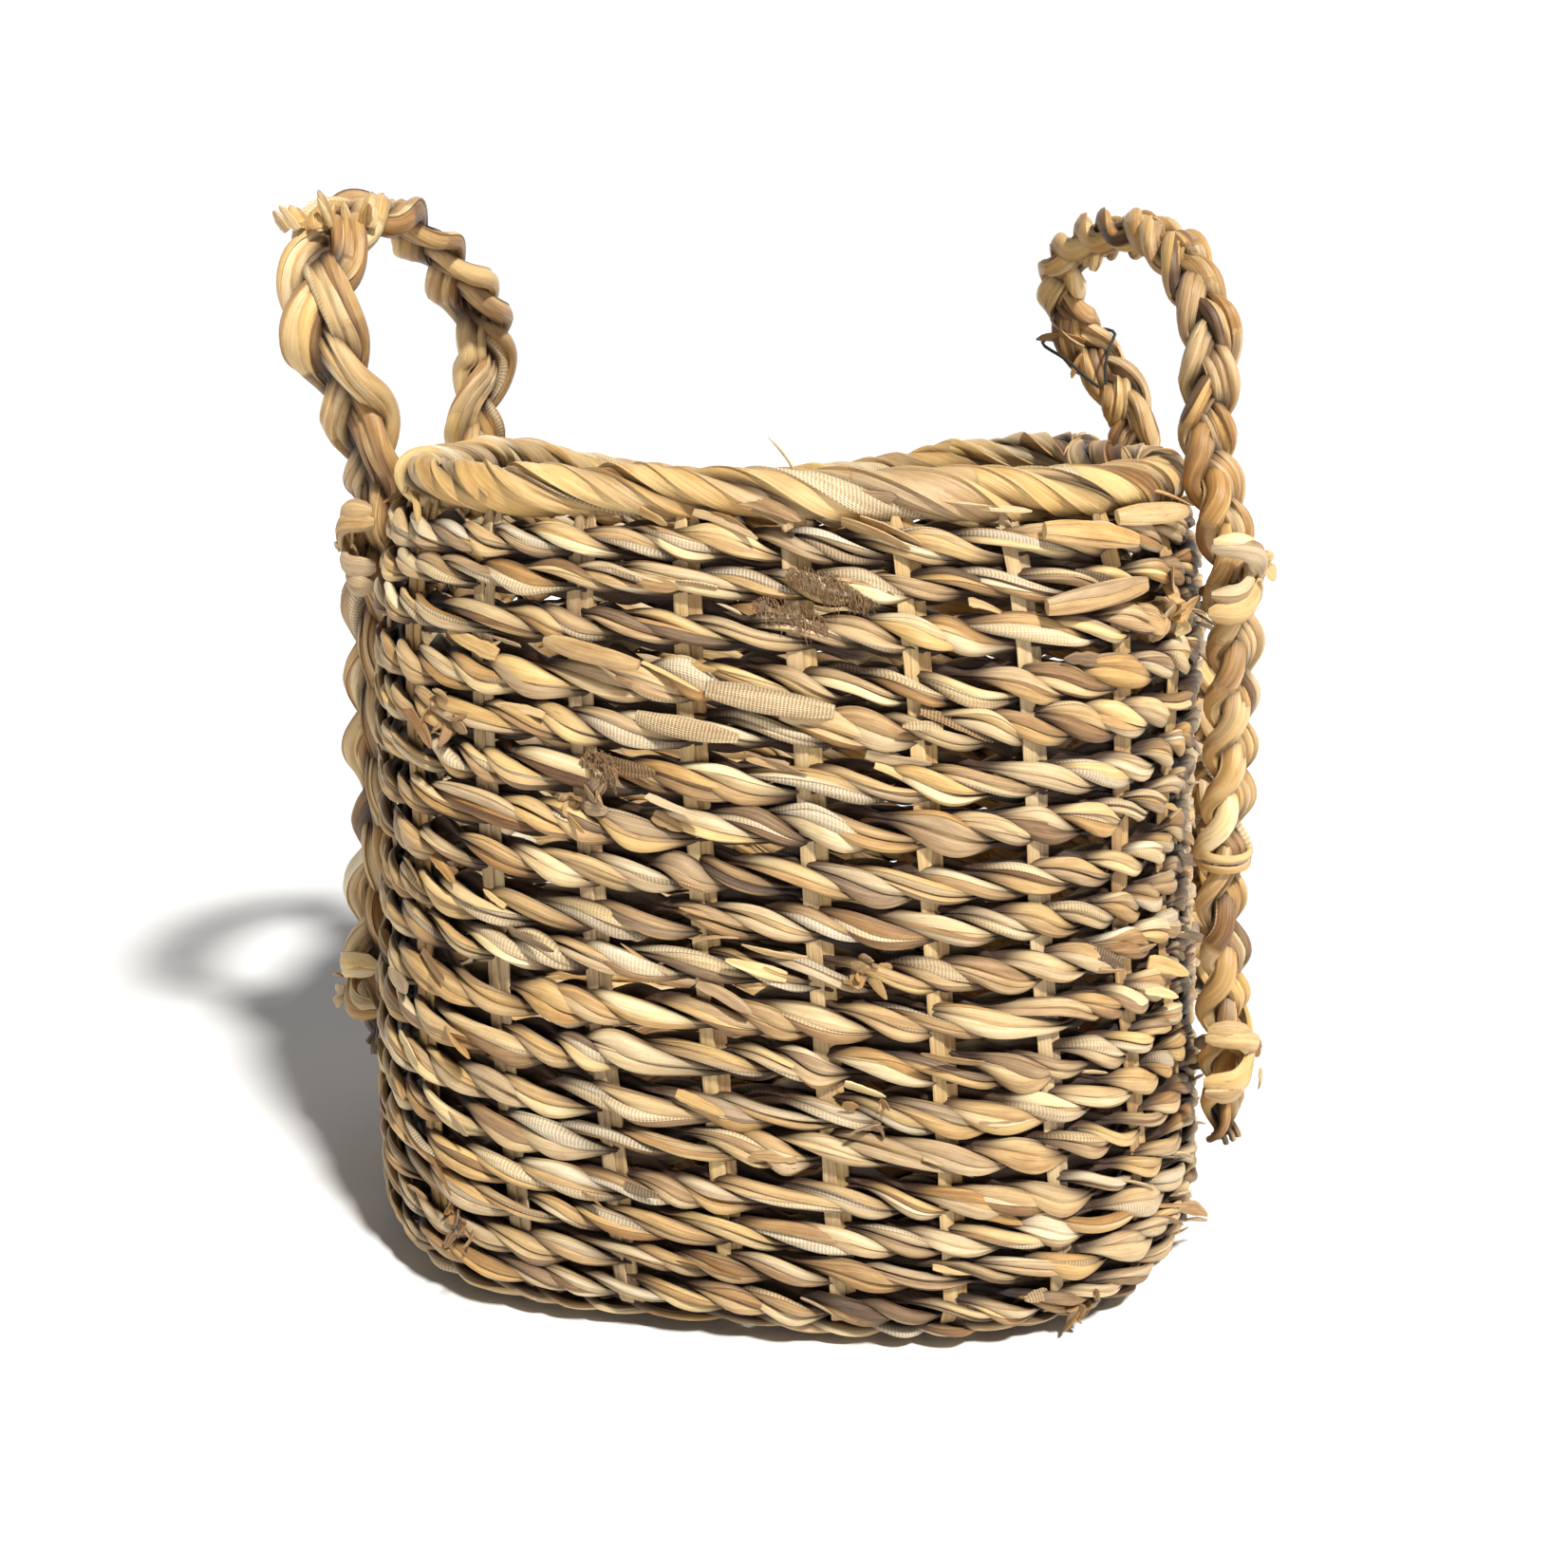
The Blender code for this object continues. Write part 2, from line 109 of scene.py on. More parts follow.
def make_light(name, spot, aim, size, power, colour):
    data = bpy.data.lights.new(name, "AREA")
    data.shape = "DISK"
    data.size = size
    data.energy = power
    data.color = colour
    light = bpy.data.objects.new(name, data)
    light.location = spot
    x, y, z = np.array(aim) - np.array(spot)
    light.rotation_euler = (math.pi / 2 + math.atan2(z, math.hypot(x, y)), 0.0, math.atan2(-x, y))
    bpy.context.scene.collection.objects.link(light)


def make_lights():
    """A high key from the right, a weak fill from the left, and a backdrop brightest behind."""
    scene = bpy.context.scene
    world = bpy.data.worlds.new("studio")
    world.use_nodes = True
    tree = world.node_tree
    backdrop = tree.nodes["Background"]
    backdrop.inputs["Color"].default_value = (1.0, 1.0, 1.0, 1.0)
    ways = tree.nodes.new("ShaderNodeTexCoord")
    parts = tree.nodes.new("ShaderNodeSeparateXYZ")
    tree.links.new(ways.outputs["Generated"], parts.inputs[0])
    level = tree.nodes.new("ShaderNodeMath")
    level.operation = "ABSOLUTE"
    tree.links.new(parts.outputs["Z"], level.inputs[0])
    ahead = smooth_range(tree, parts.outputs["Y"], 0.3, 0.8, 0.03, 1.02)
    around = smooth_range(tree, level.outputs[0], 0.10, 0.34, 0.85, 0.03)
    brighter = tree.nodes.new("ShaderNodeMath")
    brighter.operation = "MAXIMUM"
    tree.links.new(ahead, brighter.inputs[0])
    tree.links.new(around, brighter.inputs[1])
    tree.links.new(brighter.outputs[0], backdrop.inputs["Strength"])
    scene.world = world
    middle = (0.0, 0.0, 0.15)
    make_light("key", (2.4, -3.0, 4.8), middle, 0.6, 560.0, (1.0, 0.98, 0.94))
    make_light("fill", (-2.6, -2.8, 1.2), middle, 2.4, 3.0, (0.95, 0.97, 1.0))
    scene.view_settings.view_transform = "Standard"
    scene.view_settings.look = "None"


make_camera()
make_stage()
make_lights()

# ---------------------------------------------------------------- the body's surface

SQUARENESS = 3.1
WALL = np.array(
    (
        (0.1220, 0.0064),
        (0.1350, 0.0068),
        (0.1425, 0.0100),
        (0.1455, 0.0165),
        (0.1462, 0.0280),
        (0.1460, 0.1000),
        (0.1440, 0.1400),
        (0.1420, 0.1900),
        (0.1390, 0.2250),
        (0.1350, 0.2480),
        (0.1308, 0.2612),
    )
)
BACK_DIP = 0.018
SIDE_PULL = 0.022
DENTS = ((-1, 0.93, 0.0075), (1, 0.57, 0.0035))
DENT_REACH = 0.13
DENT_LEVEL, DENT_HALF_HEIGHT = 0.140, 0.110
LEAN = 0.019
STAKES = 28
COURSES = 20


def ramp(value, start, end):
    t = np.clip((np.asarray(value, float) - start) / (end - start), 0.0, 1.0)
    return t * t * (3 - 2 * t)


def hump(offset, reach):
    near = np.clip(np.abs(offset) / reach, 0.0, 1.0)
    return np.cos(0.5 * np.pi * near) ** 2


def unit(vectors):
    return vectors / np.linalg.norm(vectors, axis=-1, keepdims=True)


def make_plan():
    angle = np.linspace(0.0, 2 * np.pi, 2881)
    c, s = np.cos(angle), np.sin(angle)
    reach = (np.abs(c) ** SQUARENESS + np.abs(s) ** SQUARENESS) ** (-1 / SQUARENESS)
    x, y = reach * c, reach * s
    travel = np.concatenate([[0.0], np.cumsum(np.hypot(np.diff(x), np.diff(y)))])
    return x, y, travel / travel[-1], travel[-1]


PLAN_X, PLAN_Y, PLAN_TURN, PLAN_LENGTH = make_plan()


def place(turn, radius, height):
    """Points at these half widths and heights, with the hand-made unevenness of the top."""
    turn = np.asarray(turn, float)
    x = np.interp(turn % 1.0, PLAN_TURN, PLAN_X)
    y = np.interp(turn % 1.0, PLAN_TURN, PLAN_Y)
    high = ramp(height, 0.150, 0.270)
    dip = BACK_DIP * hump((turn - 0.30 + 0.5) % 1.0 - 0.5, 0.17) * high
    pull = SIDE_PULL * hump((turn - 0.062 + 0.5) % 1.0 - 0.5, 0.075) * high
    for way, middle, amount in DENTS:
        side = hump((turn - middle + 0.5) % 1.0 - 0.5, DENT_REACH)
        pull = pull - way * amount * side * hump(height - DENT_LEVEL, DENT_HALF_HEIGHT)
    return np.stack([x * radius - pull, y * radius, height - dip + 0 * x], axis=-1)


WALL_TRAVEL = np.concatenate([[0.0], np.cumsum(np.hypot(*np.diff(WALL, axis=0).T))])
WALL_LENGTH = WALL_TRAVEL[-1]


def wall_at(distance):
    """Half width and height of the middle of the wall, which goes straight on past its top end."""
    inside = np.clip(distance, 0.0, WALL_LENGTH)
    over = np.maximum(distance - WALL_LENGTH, 0.0)
    radius = np.interp(inside, WALL_TRAVEL, WALL[:, 0]) - 0.30 * over
    height = np.interp(inside, WALL_TRAVEL, WALL[:, 1]) + 0.95 * over
    return radius, height


def wall_point(turn, distance, out):
    radius, height = wall_at(distance)
    r0, z0 = wall_at(distance - 0.004)
    r1, z1 = wall_at(distance + 0.004)
    length = np.hypot(r1 - r0, z1 - z0)
    return place(turn, radius + out * (z1 - z0) / length, height - out * (r1 - r0) / length)


def wall_ways(turn, distance):
    """Unit vectors up along the wall and out of it."""
    upwards = wall_point(turn, distance + 0.002, 0.0) - wall_point(turn, distance - 0.002, 0.0)
    outwards = wall_point(turn, distance, 0.002) - wall_point(turn, distance, -0.002)
    return unit(upwards), unit(outwards)


def course_levels():
    """How far up the wall each course lies, the lowest first, and the pitch there."""
    levels = [0.0085]
    for i in range(COURSES - 1):
        step = min(0.01475, 0.0098 + 0.0009 * i, 0.0118 + 0.0015 * (COURSES - 2 - i))
        levels.append(levels[-1] + step)
    pitches = np.diff(levels)
    return np.array(levels), np.append(pitches, pitches[-1])


LEVELS, PITCHES = course_levels()

# ---------------------------------------------------------------- meshes


def make_object(name, points, faces, leaf, look, paint, sharp=38.0):
    """A mesh whose points carry where they lie on their leaf, and that leaf's looks."""
    mesh = bpy.data.meshes.new(name)
    mesh.vertices.add(len(points))
    mesh.vertices.foreach_set("co", np.asarray(points, np.float32).ravel())
    faces = np.asarray(faces, np.int32)
    mesh.loops.add(faces.size)
    mesh.loops.foreach_set("vertex_index", faces.ravel())
    mesh.polygons.add(len(faces))
    mesh.polygons.foreach_set("loop_start", np.arange(0, faces.size, 4, dtype=np.int32))
    mesh.update(calc_edges=True)
    mesh.validate()
    for title, values in (("leaf", leaf), ("look", look)):
        attribute = mesh.attributes.new(title, "FLOAT_VECTOR", "POINT")
        attribute.data.foreach_set("vector", np.asarray(values, np.float32).ravel())
    mesh.polygons.foreach_set("use_smooth", np.ones(len(faces), bool))
    mesh.set_sharp_from_angle(angle=math.radians(sharp))
    mesh.materials.append(paint)
    made = bpy.data.objects.new(name, mesh)
    bpy.context.scene.collection.objects.link(made)
    return made


class Bundle:
    """Collects the strands of one piece."""

    def __init__(self):
        self.points, self.faces, self.leaf, self.look = [], [], [], []
        self.count = 0

    def grid(self, points, leaf, look, closed):
        """Adds a tube from rings of points: (rings, points in a ring, 3)."""
        rings, sides = points.shape[:2]
        index = np.arange(rings * sides).reshape(rings, sides) + self.count
        if closed:
            here, there = index, np.roll(index, -1, axis=0)
        else:
            here, there = index[:-1], index[1:]
        quads = [here, np.roll(here, -1, axis=1), np.roll(there, -1, axis=1), there]
        self.faces.append(np.stack(quads, axis=-1).reshape(-1, 4))
        if not closed:
            half = sides // 2
            for ring, turned in ((index[0], True), (index[-1], False)):
                a = ring[: half - 1]
                b = ring[1:half]
                c = ring[::-1][1:half]
                d = ring[::-1][: half - 1]
                caps = np.stack([a, b, c, d], axis=-1)
                self.faces.append(caps[:, ::-1] if turned else caps)
        self.points.append(points.reshape(-1, 3))
        self.leaf.append(leaf.reshape(-1, 3))
        self.look.append(look.reshape(-1, 3))
        self.count += rings * sides

    def build(self, name, paint, sharp=38.0):
        parts = (np.concatenate(x) for x in (self.points, self.faces, self.leaf, self.look))
        points, faces, leaf, look = parts
        return make_object(name, points, faces, leaf, look, paint, sharp)


LEAF_STOPS = np.array((0.0, 0.10, 0.28, 0.46, 0.62, 0.80, 0.94, 1.0))


def wobble(rng, size, knots, closed):
    """Smooth random values of about -1 to 1 along a strand, with this many knots."""
    knots = max(3, int(knots))
    values = rng.uniform(-1.0, 1.0, knots)
    spots = np.arange(size) * knots / size
    if not closed:
        spots = spots * (knots - 1) / knots
    low = np.floor(spots).astype(int)
    share = spots - low
    share = share * share * (3 - 2 * share)
    return values[low % knots] * (1 - share) + values[(low + 1) % knots] * share


def leafy_strand(bundle, rng, middle, wide_way, thick_way, wide, thick, shares, **look):
    """A strand of a few leaves laid one over the next, each with a raised edge and a fold.

    middle, wide_way and thick_way are (n, 3); wide and thick are half sizes; shares gives each
    ring's place along the strand in metres. look holds tone, net and seeds per ring and leaf; shade,
    a function that gives the painted shade of each point, dark deep in the weave where shade falls;
    seam, the angle where the first leaf starts; and closed, which is true for a strand that runs into
    its own start.
    """
    rings = len(middle)
    closed = look["closed"]
    tone, net, shade = look["tone"], look["net"], look["shade"]
    leaves = tone.shape[1]
    length = shares[-1] - shares[0]
    angles, reach, across, tones, nets, seeds = [], [], [], [], [], []
    bounds = []
    for j in range(leaves):
        drift = 0.32 * wobble(rng, rings, length / 0.045, closed)
        bounds.append(look["seam"] + 2 * np.pi * j / leaves + drift)
    bounds.append(bounds[0] + 2 * np.pi)
    for j in range(leaves):
        fold_at = 0.5 + 0.22 * wobble(rng, rings, length / 0.05, closed)
        fold = 0.12 + 0.09 * wobble(rng, rings, length / 0.03, closed)
        edge = 0.22 + 0.10 * wobble(rng, rings, length / 0.025, closed)
        swell = 0.035 * wobble(rng, rings, length / 0.008, closed)
        for f in LEAF_STOPS:
            angles.append(bounds[j] + (bounds[j + 1] - bounds[j]) * (f * 0.985 + 0.005))
            crease = fold * np.exp(-(((f - fold_at) / 0.13) ** 2))
            reach.append(0.92 + edge * f**1.6 - crease + swell * np.sin(np.pi * f))
            across.append(np.full(rings, 0.012 * f))
            tones.append(tone[:, j])
            nets.append(net[:, j])
            seeds.append(look["seeds"][:, j])
    angles, reach = np.stack(angles, 1), np.stack(reach, 1)
    x = (wide[:, None] * np.cos(angles) * reach)[..., None] * wide_way[:, None, :]
    y = (thick[:, None] * np.sin(angles) * reach)[..., None] * thick_way[:, None, :]
    points = middle[:, None, :] + x + y
    sides = points.shape[1]
    along = np.repeat(shares[:, None], sides, axis=1)
    leaf = np.stack([along, np.stack(across, 1), np.stack(seeds, 1)], axis=-1)
    looks = np.stack([np.stack(tones, 1), np.stack(nets, 1), shade(points)], axis=-1)
    bundle.grid(points, leaf, looks, closed)


def painted_core_shade(centre, ways, sizes, dark, near, far):
    """Painted shade: a factor that darkens leaves deep inside a strand's twist and the wall, where shade
    falls, and is 1 on the outside.
    """

    def shade(points):
        offset = points - centre[:, None, :]
        depth = np.zeros(points.shape[:2])
        for way, size in zip(ways, sizes):
            depth = depth + ((offset * way[:, None, :]).sum(-1) / size) ** 2
        return dark + (1 - dark) * ramp(np.sqrt(depth), near, far)

    return shade


def leaf_choice(rng, groups, leaves, mean, spread, netted):
    """Tones, netting and seeds for every leaf of every stretch of a strand."""
    tone = np.clip(rng.normal(mean, spread, (groups, leaves)), 0.02, 0.98)
    brown = rng.random((groups, leaves)) < 0.06
    tone[brown] = rng.uniform(0.12, 0.30, brown.sum())
    net = (rng.random((groups, leaves)) < netted) * rng.uniform(0.5, 1.0, (groups, leaves))
    tone = np.where(net > 0, np.maximum(tone, 0.70), tone)
    seeds = rng.uniform(0.0, 50.0, (groups, leaves))
    return tone, net, seeds


# ---------------------------------------------------------------- materials

# Each tone on a warm, golden leaf and on a cool, greyed one
TONES = (
    (0.00, (0.075, 0.030, 0.010), (0.070, 0.044, 0.026)),
    (0.18, (0.200, 0.092, 0.028), (0.170, 0.108, 0.062)),
    (0.36, (0.390, 0.200, 0.058), (0.320, 0.220, 0.130)),
    (0.52, (0.570, 0.345, 0.118), (0.480, 0.355, 0.215)),
    (0.68, (0.700, 0.480, 0.190), (0.620, 0.490, 0.320)),
    (0.84, (0.800, 0.620, 0.310), (0.740, 0.640, 0.470)),
    (1.00, (0.860, 0.740, 0.490), (0.840, 0.780, 0.660)),
)
FLECK_COLOUR = (0.42, 0.28, 0.16, 1.0)
# The dark brown that painted shade darkens leaves towards, deep in the weave where shade falls
PAINTED_SHADE_COLOUR = (0.060, 0.026, 0.008, 1.0)
WHITE = (1.0, 1.0, 1.0, 1.0)


class Shading:
    """Adds and joins the shader nodes of one material."""

    def __init__(self, name):
        self.paint = bpy.data.materials.new(name)
        self.paint.use_nodes = True
        self.tree = self.paint.node_tree
        self.shader = self.tree.nodes["Principled BSDF"]

    def node(self, kind, **settings):
        made = self.tree.nodes.new(kind)
        for key, value in settings.items():
            setattr(made, key, value)
        return made

    def feed(self, slot, value):
        """Sets a socket to a plain value, or joins it to another node's output."""
        if isinstance(value, bpy.types.NodeSocket):
            self.tree.links.new(value, slot)
        else:
            slot.default_value = value

    def sums(self, operation, first, second, third=None, clamp=False):
        made = self.node("ShaderNodeMath", operation=operation, use_clamp=clamp)
        for slot, value in zip(made.inputs, (first, second, third)):
            if value is not None:
                self.feed(slot, value)
        return made.outputs[0]

    def mix(self, share, first, second, blend="MIX"):
        made = self.node("ShaderNodeMix", data_type="RGBA", blend_type=blend)
        for title, value in (("Factor", share), ("A", first), ("B", second)):
            self.feed(made.inputs[title], value)
        return made.outputs["Result"]

    def split(self, attribute):
        """The three values of a mesh attribute."""
        source = self.node("ShaderNodeAttribute", attribute_name=attribute)
        parts = self.node("ShaderNodeSeparateXYZ")
        self.feed(parts.inputs[0], source.outputs["Vector"])
        return parts.outputs

    def noise(self, spot, scales, detail, roughness):
        """Noise over a leaf, with its own scale along it, across it and from leaf to leaf."""
        place_on_leaf = self.node("ShaderNodeCombineXYZ")
        for slot, value, scale in zip(place_on_leaf.inputs, spot, scales):
            self.feed(slot, self.sums("MULTIPLY", value, scale))
        made = self.node("ShaderNodeTexNoise")
        made.inputs["Scale"].default_value = 1.0
        made.inputs["Detail"].default_value = detail
        made.inputs["Roughness"].default_value = roughness
        self.feed(made.inputs["Vector"], place_on_leaf.outputs[0])
        return made.outputs["Fac"]

    def tones(self, value, kind):
        """The colour of a tone on a warm leaf, kind 1, or on a cool one, kind 2."""
        colours = self.node("ShaderNodeValToRGB")
        scale = colours.color_ramp
        while len(scale.elements) < len(TONES):
            scale.elements.new(0.5)
        for element, entry in zip(scale.elements, TONES):
            element.position = entry[0]
            element.color = (*entry[kind], 1.0)
        self.feed(colours.inputs["Fac"], value)
        return colours.outputs["Color"]


def leaf_netting(shading, spot, streaks, blotches):
    """The netted inner side of a leaf: rows of small dark cells between pale ribs."""
    sums = shading.sums
    along, across, seed = spot
    warp = sums("MULTIPLY_ADD", streaks, 2.4, sums("MULTIPLY", blotches, 1.6))
    lengthwise = sums("SINE", sums("MULTIPLY_ADD", along, 2800.0, warp), 0.0)
    crosswise = sums("SINE", sums("MULTIPLY_ADD", across, 4300.0, sums("MULTIPLY", seed, 3.0)), 0.0)
    cell = sums("MULTIPLY", sums("ABSOLUTE", lengthwise, 0.0), sums("ABSOLUTE", crosswise, 0.0))
    return sums("SUBTRACT", 1.0, sums("MULTIPLY", cell, 1.5, clamp=True))


def leaf_paint(name, lift=0.0, cool=0.45, rough=0.52, vein=0.16):
    """Dry seagrass: tone by leaf, fine veins along it, brown flecks, a pale netted inner side, and
    painted shade deep in the weave.
    """
    shading = Shading(name)
    sums = shading.sums
    spot = shading.split("leaf")
    seed = spot[2]
    tone, net, shade = shading.split("look")
    veins = shading.noise(spot, (22.0, 1500.0, 7.3), 3.0, 0.6)
    streaks = shading.noise(spot, (30.0, 420.0, 3.1), 2.0, 0.5)
    blotches = shading.noise(spot, (95.0, 260.0, 5.7), 3.0, 0.6)
    flecks = shading.noise(spot, (330.0, 700.0, 9.1), 2.0, 0.5)
    netting = sums("MULTIPLY", leaf_netting(shading, spot, streaks, blotches), net)

    value = sums("MULTIPLY_ADD", sums("SUBTRACT", veins, 0.5), vein * 1.9, tone)
    value = sums("MULTIPLY_ADD", sums("SUBTRACT", streaks, 0.5), 0.42, value)
    value = sums("MULTIPLY_ADD", sums("SUBTRACT", blotches, 0.5), 0.40, value)
    value = sums("MULTIPLY_ADD", netting, 0.50, value)
    value = sums("MULTIPLY_ADD", net, -0.27, value)
    value = sums("ADD", value, lift, clamp=True)

    kinds = shading.node("ShaderNodeTexWhiteNoise", noise_dimensions="1D")
    shading.feed(kinds.inputs["W"], seed)
    coolness = sums("ADD", kinds.outputs["Value"], cool - 0.5, clamp=True)
    coolness = sums("MULTIPLY", sums("MULTIPLY_ADD", net, 0.45, coolness), 1.0, clamp=True)
    colour = shading.mix(coolness, shading.tones(value, 1), shading.tones(value, 2))
    dark = sums("MULTIPLY", sums("SUBTRACT", flecks, 0.63, clamp=True), 5.0, clamp=True)
    colour = shading.mix(sums("MULTIPLY", dark, 0.55), colour, FLECK_COLOUR, "MULTIPLY")
    # Painted shade: the colour is darkened towards dark brown deep inside the weave, where shade falls
    colour = shading.mix(1.0, colour, shading.mix(shade, PAINTED_SHADE_COLOUR, WHITE), "MULTIPLY")
    shading.feed(shading.shader.inputs["Base Color"], colour)

    gloss = sums("MULTIPLY_ADD", blotches, 0.30, rough - 0.15)
    shading.feed(shading.shader.inputs["Roughness"], sums("MULTIPLY_ADD", net, 0.15, gloss))
    shading.shader.inputs["Specular IOR Level"].default_value = 0.42
    shading.shader.inputs["Sheen Weight"].default_value = 0.06
    shading.shader.inputs["Sheen Roughness"].default_value = 0.4

    relief = sums("MULTIPLY_ADD", streaks, 0.8, sums("MULTIPLY", veins, 0.9))
    relief = sums("MULTIPLY_ADD", netting, 0.7, relief)
    raised = shading.node("ShaderNodeBump")
    raised.inputs["Strength"].default_value = 0.55
    raised.inputs["Distance"].default_value = 0.0006
    shading.feed(raised.inputs["Height"], relief)
    shading.feed(shading.shader.inputs["Normal"], raised.outputs["Normal"])
    return shading.paint


WEFT_PAINT = leaf_paint("weft_seagrass")
RIM_PAINT = leaf_paint("rim_seagrass", cool=0.38, rough=0.48)
STAKE_PAINT = leaf_paint("stake_leaf", rough=0.6, vein=0.22)
BASE_PAINT = leaf_paint("base_seagrass", lift=-0.03, rough=0.62)
HANDLE_PAINT = leaf_paint("handle_plait", cool=0.30, rough=0.46)
LASHING_PAINT = leaf_paint("lashing_leaf", lift=0.03, rough=0.55)

# ---------------------------------------------------------------- weft courses

STEPS_PER_STAKE = 22
STRANDS = 4  # two double strands, one in front of each stake and one behind it
STRAND_TURNS = STAKES // 2  # turns of the strands about each other, once round the basket
STRAND_SWING = 0.0038  # how far they swing out of the wall and into it
STRAND_RISE = 0.0040  # how far they rise and fall
STRAND_THICK = 0.0019
# Half widths: where a strand crosses the wall, what it gains outside it, and what more inside it
CROSSING_WIDE, OUTER_WIDER, INNER_WIDER = 0.0012, 0.0026, 0.0024


def weft_course(number):
    """A twined course: leaf strands that turn about each other and about the stakes."""
    rng = np.random.default_rng(400 + number)
    level, pitch = LEVELS[COURSES - number], PITCHES[COURSES - number]
    size = pitch / 0.01475 * (1.12 if number == 1 else 1.0)
    rings = STAKES * STEPS_PER_STAKE
    turn = np.arange(rings) / rings
    lean = LEAN * level / WALL_LENGTH
    centre = wall_point(turn, level, 0.0)
    upwards, outwards = wall_ways(turn, np.full(rings, level))
    # Painted shade: leaves darken deep inside the wall, between the strands, where shade falls
    shade = painted_core_shade(centre, (outwards,), (1.0,), 0.02, 0.0017, 0.0056)
    bundle = Bundle()
    sway = 0.0010 * wobble(rng, rings, STAKES, True) + 0.0009 * wobble(rng, rings, 9, True)
    halves = 2 * STRAND_TURNS
    slip = 0.55 * wobble(rng, rings, STAKES, True)
    for strand in range(STRANDS):
        twist = 2 * np.pi * STRAND_TURNS * (turn + lean) + slip + 0.38 * wobble(rng, rings, STAKES, True)
        phase = twist + 2 * np.pi * strand / STRANDS + np.pi * number
        half = np.floor((phase + np.pi / 2) / np.pi).astype(int)
        half = (half - half.min()) % halves
        front = np.cos(phase)
        fat = np.clip(1.0 + 0.24 * rng.normal(0.0, 1.0, halves)[half] * front**2, 0.60, 1.5)
        drop = 0.0015 * rng.uniform(-1, 1, halves)[half] * front**2
        out = (STRAND_SWING + 0.0006 * wobble(rng, rings, STAKES, True)) * front
        up = size * (drop - STRAND_RISE * np.sin(phase)) + sway
        up = up + 0.0005 * wobble(rng, rings, 2 * STAKES, True)
        behind = np.clip(-front, 0.0, 1.0)
        wide = CROSSING_WIDE + OUTER_WIDER * np.abs(front) ** 1.3 + INNER_WIDER * behind
        wide = size * fat * wide
        thick = (STRAND_THICK + 0.0003 * wobble(rng, rings, STAKES, True)) * np.sqrt(fat)
        tilt = (0.45 * np.sin(phase) + 0.25 * wobble(rng, rings, STAKES, True))[:, None]
        for part in (-1, 1):
            runs = np.cumsum(rng.random(halves) < 0.62)
            tone, net, seeds = leaf_choice(rng, runs[-1] + 1, 2, 0.53, 0.11, 0.15)
            which = runs[half]
            shift = rng.normal(0.0, 0.05, halves)[half][:, None]
            share = 0.46 + 0.20 * wobble(rng, rings, STAKES, True)
            proud = part * 0.0007 * wobble(rng, rings, STAKES // 2, True)
            leafy_strand(
                bundle,
                rng,
                wall_point(turn, level + up + part * share * wide, out + proud),
                unit(upwards - tilt * outwards),
                unit(outwards + tilt * upwards),
                wide * (0.62 + 0.14 * wobble(rng, rings, STAKES, True)),
                thick * (0.90 + 0.10 * wobble(rng, rings, STAKES, True)),
                turn * PLAN_LENGTH * 0.145,
                tone=np.clip(tone[which] + shift, 0.02, 1.0),
                net=net[which],
                seeds=seeds[which],
                shade=shade,
                seam=rng.uniform(0, 2 * np.pi) + 2 * np.pi * rng.integers(-4, 5) * turn,
                closed=True,
            )
    made = bundle.build(f"twined_course_{number:02d}", WEFT_PAINT)
    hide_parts(f"weft_course_{number:02d}")
    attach(made, "body")


for number in range(1, COURSES + 1):
    weft_course(number)

# ---------------------------------------------------------------- stakes


def travelled(path):
    """How far along the path every point of it lies."""
    steps = np.linalg.norm(np.diff(path, axis=0), axis=1)
    return np.concatenate([[0.0], np.cumsum(steps)])


def square_to(along, vectors):
    """These vectors turned square to the path's direction."""
    return unit(vectors - along * (vectors * along).sum(1, keepdims=True))


def strip(bundle, rng, middle, wide_way, thick_way, wide, thick, tone, net, shade=0.9):
    """A single flat leaf along a path."""
    rings = len(middle)
    shares = travelled(middle)
    angle = np.linspace(0, 2 * np.pi, 12, endpoint=False) + 0.1
    c, s = np.cos(angle), np.sin(angle)
    c = np.sign(c) * np.abs(c) ** 0.8
    s = np.sign(s) * np.abs(s) ** 0.6
    fold = 0.35 * np.exp(-((c / 0.3) ** 2))
    x = (wide[:, None] * c)[..., None] * wide_way[:, None, :]
    y = (thick[:, None] * (s - fold))[..., None] * thick_way[:, None, :]
    points = middle[:, None, :] + x + y
    leaf = np.stack(
        [
            np.repeat(shares[:, None], 12, axis=1),
            np.repeat(0.006 * (c + 1)[None, :], rings, axis=0),
            np.full((rings, 12), rng.uniform(0, 50)),
        ],
        axis=-1,
    )
    look = np.stack(
        [np.full((rings, 12), tone), np.full((rings, 12), net), np.full((rings, 12), shade)],
        axis=-1,
    )
    bundle.grid(points, leaf, look, False)


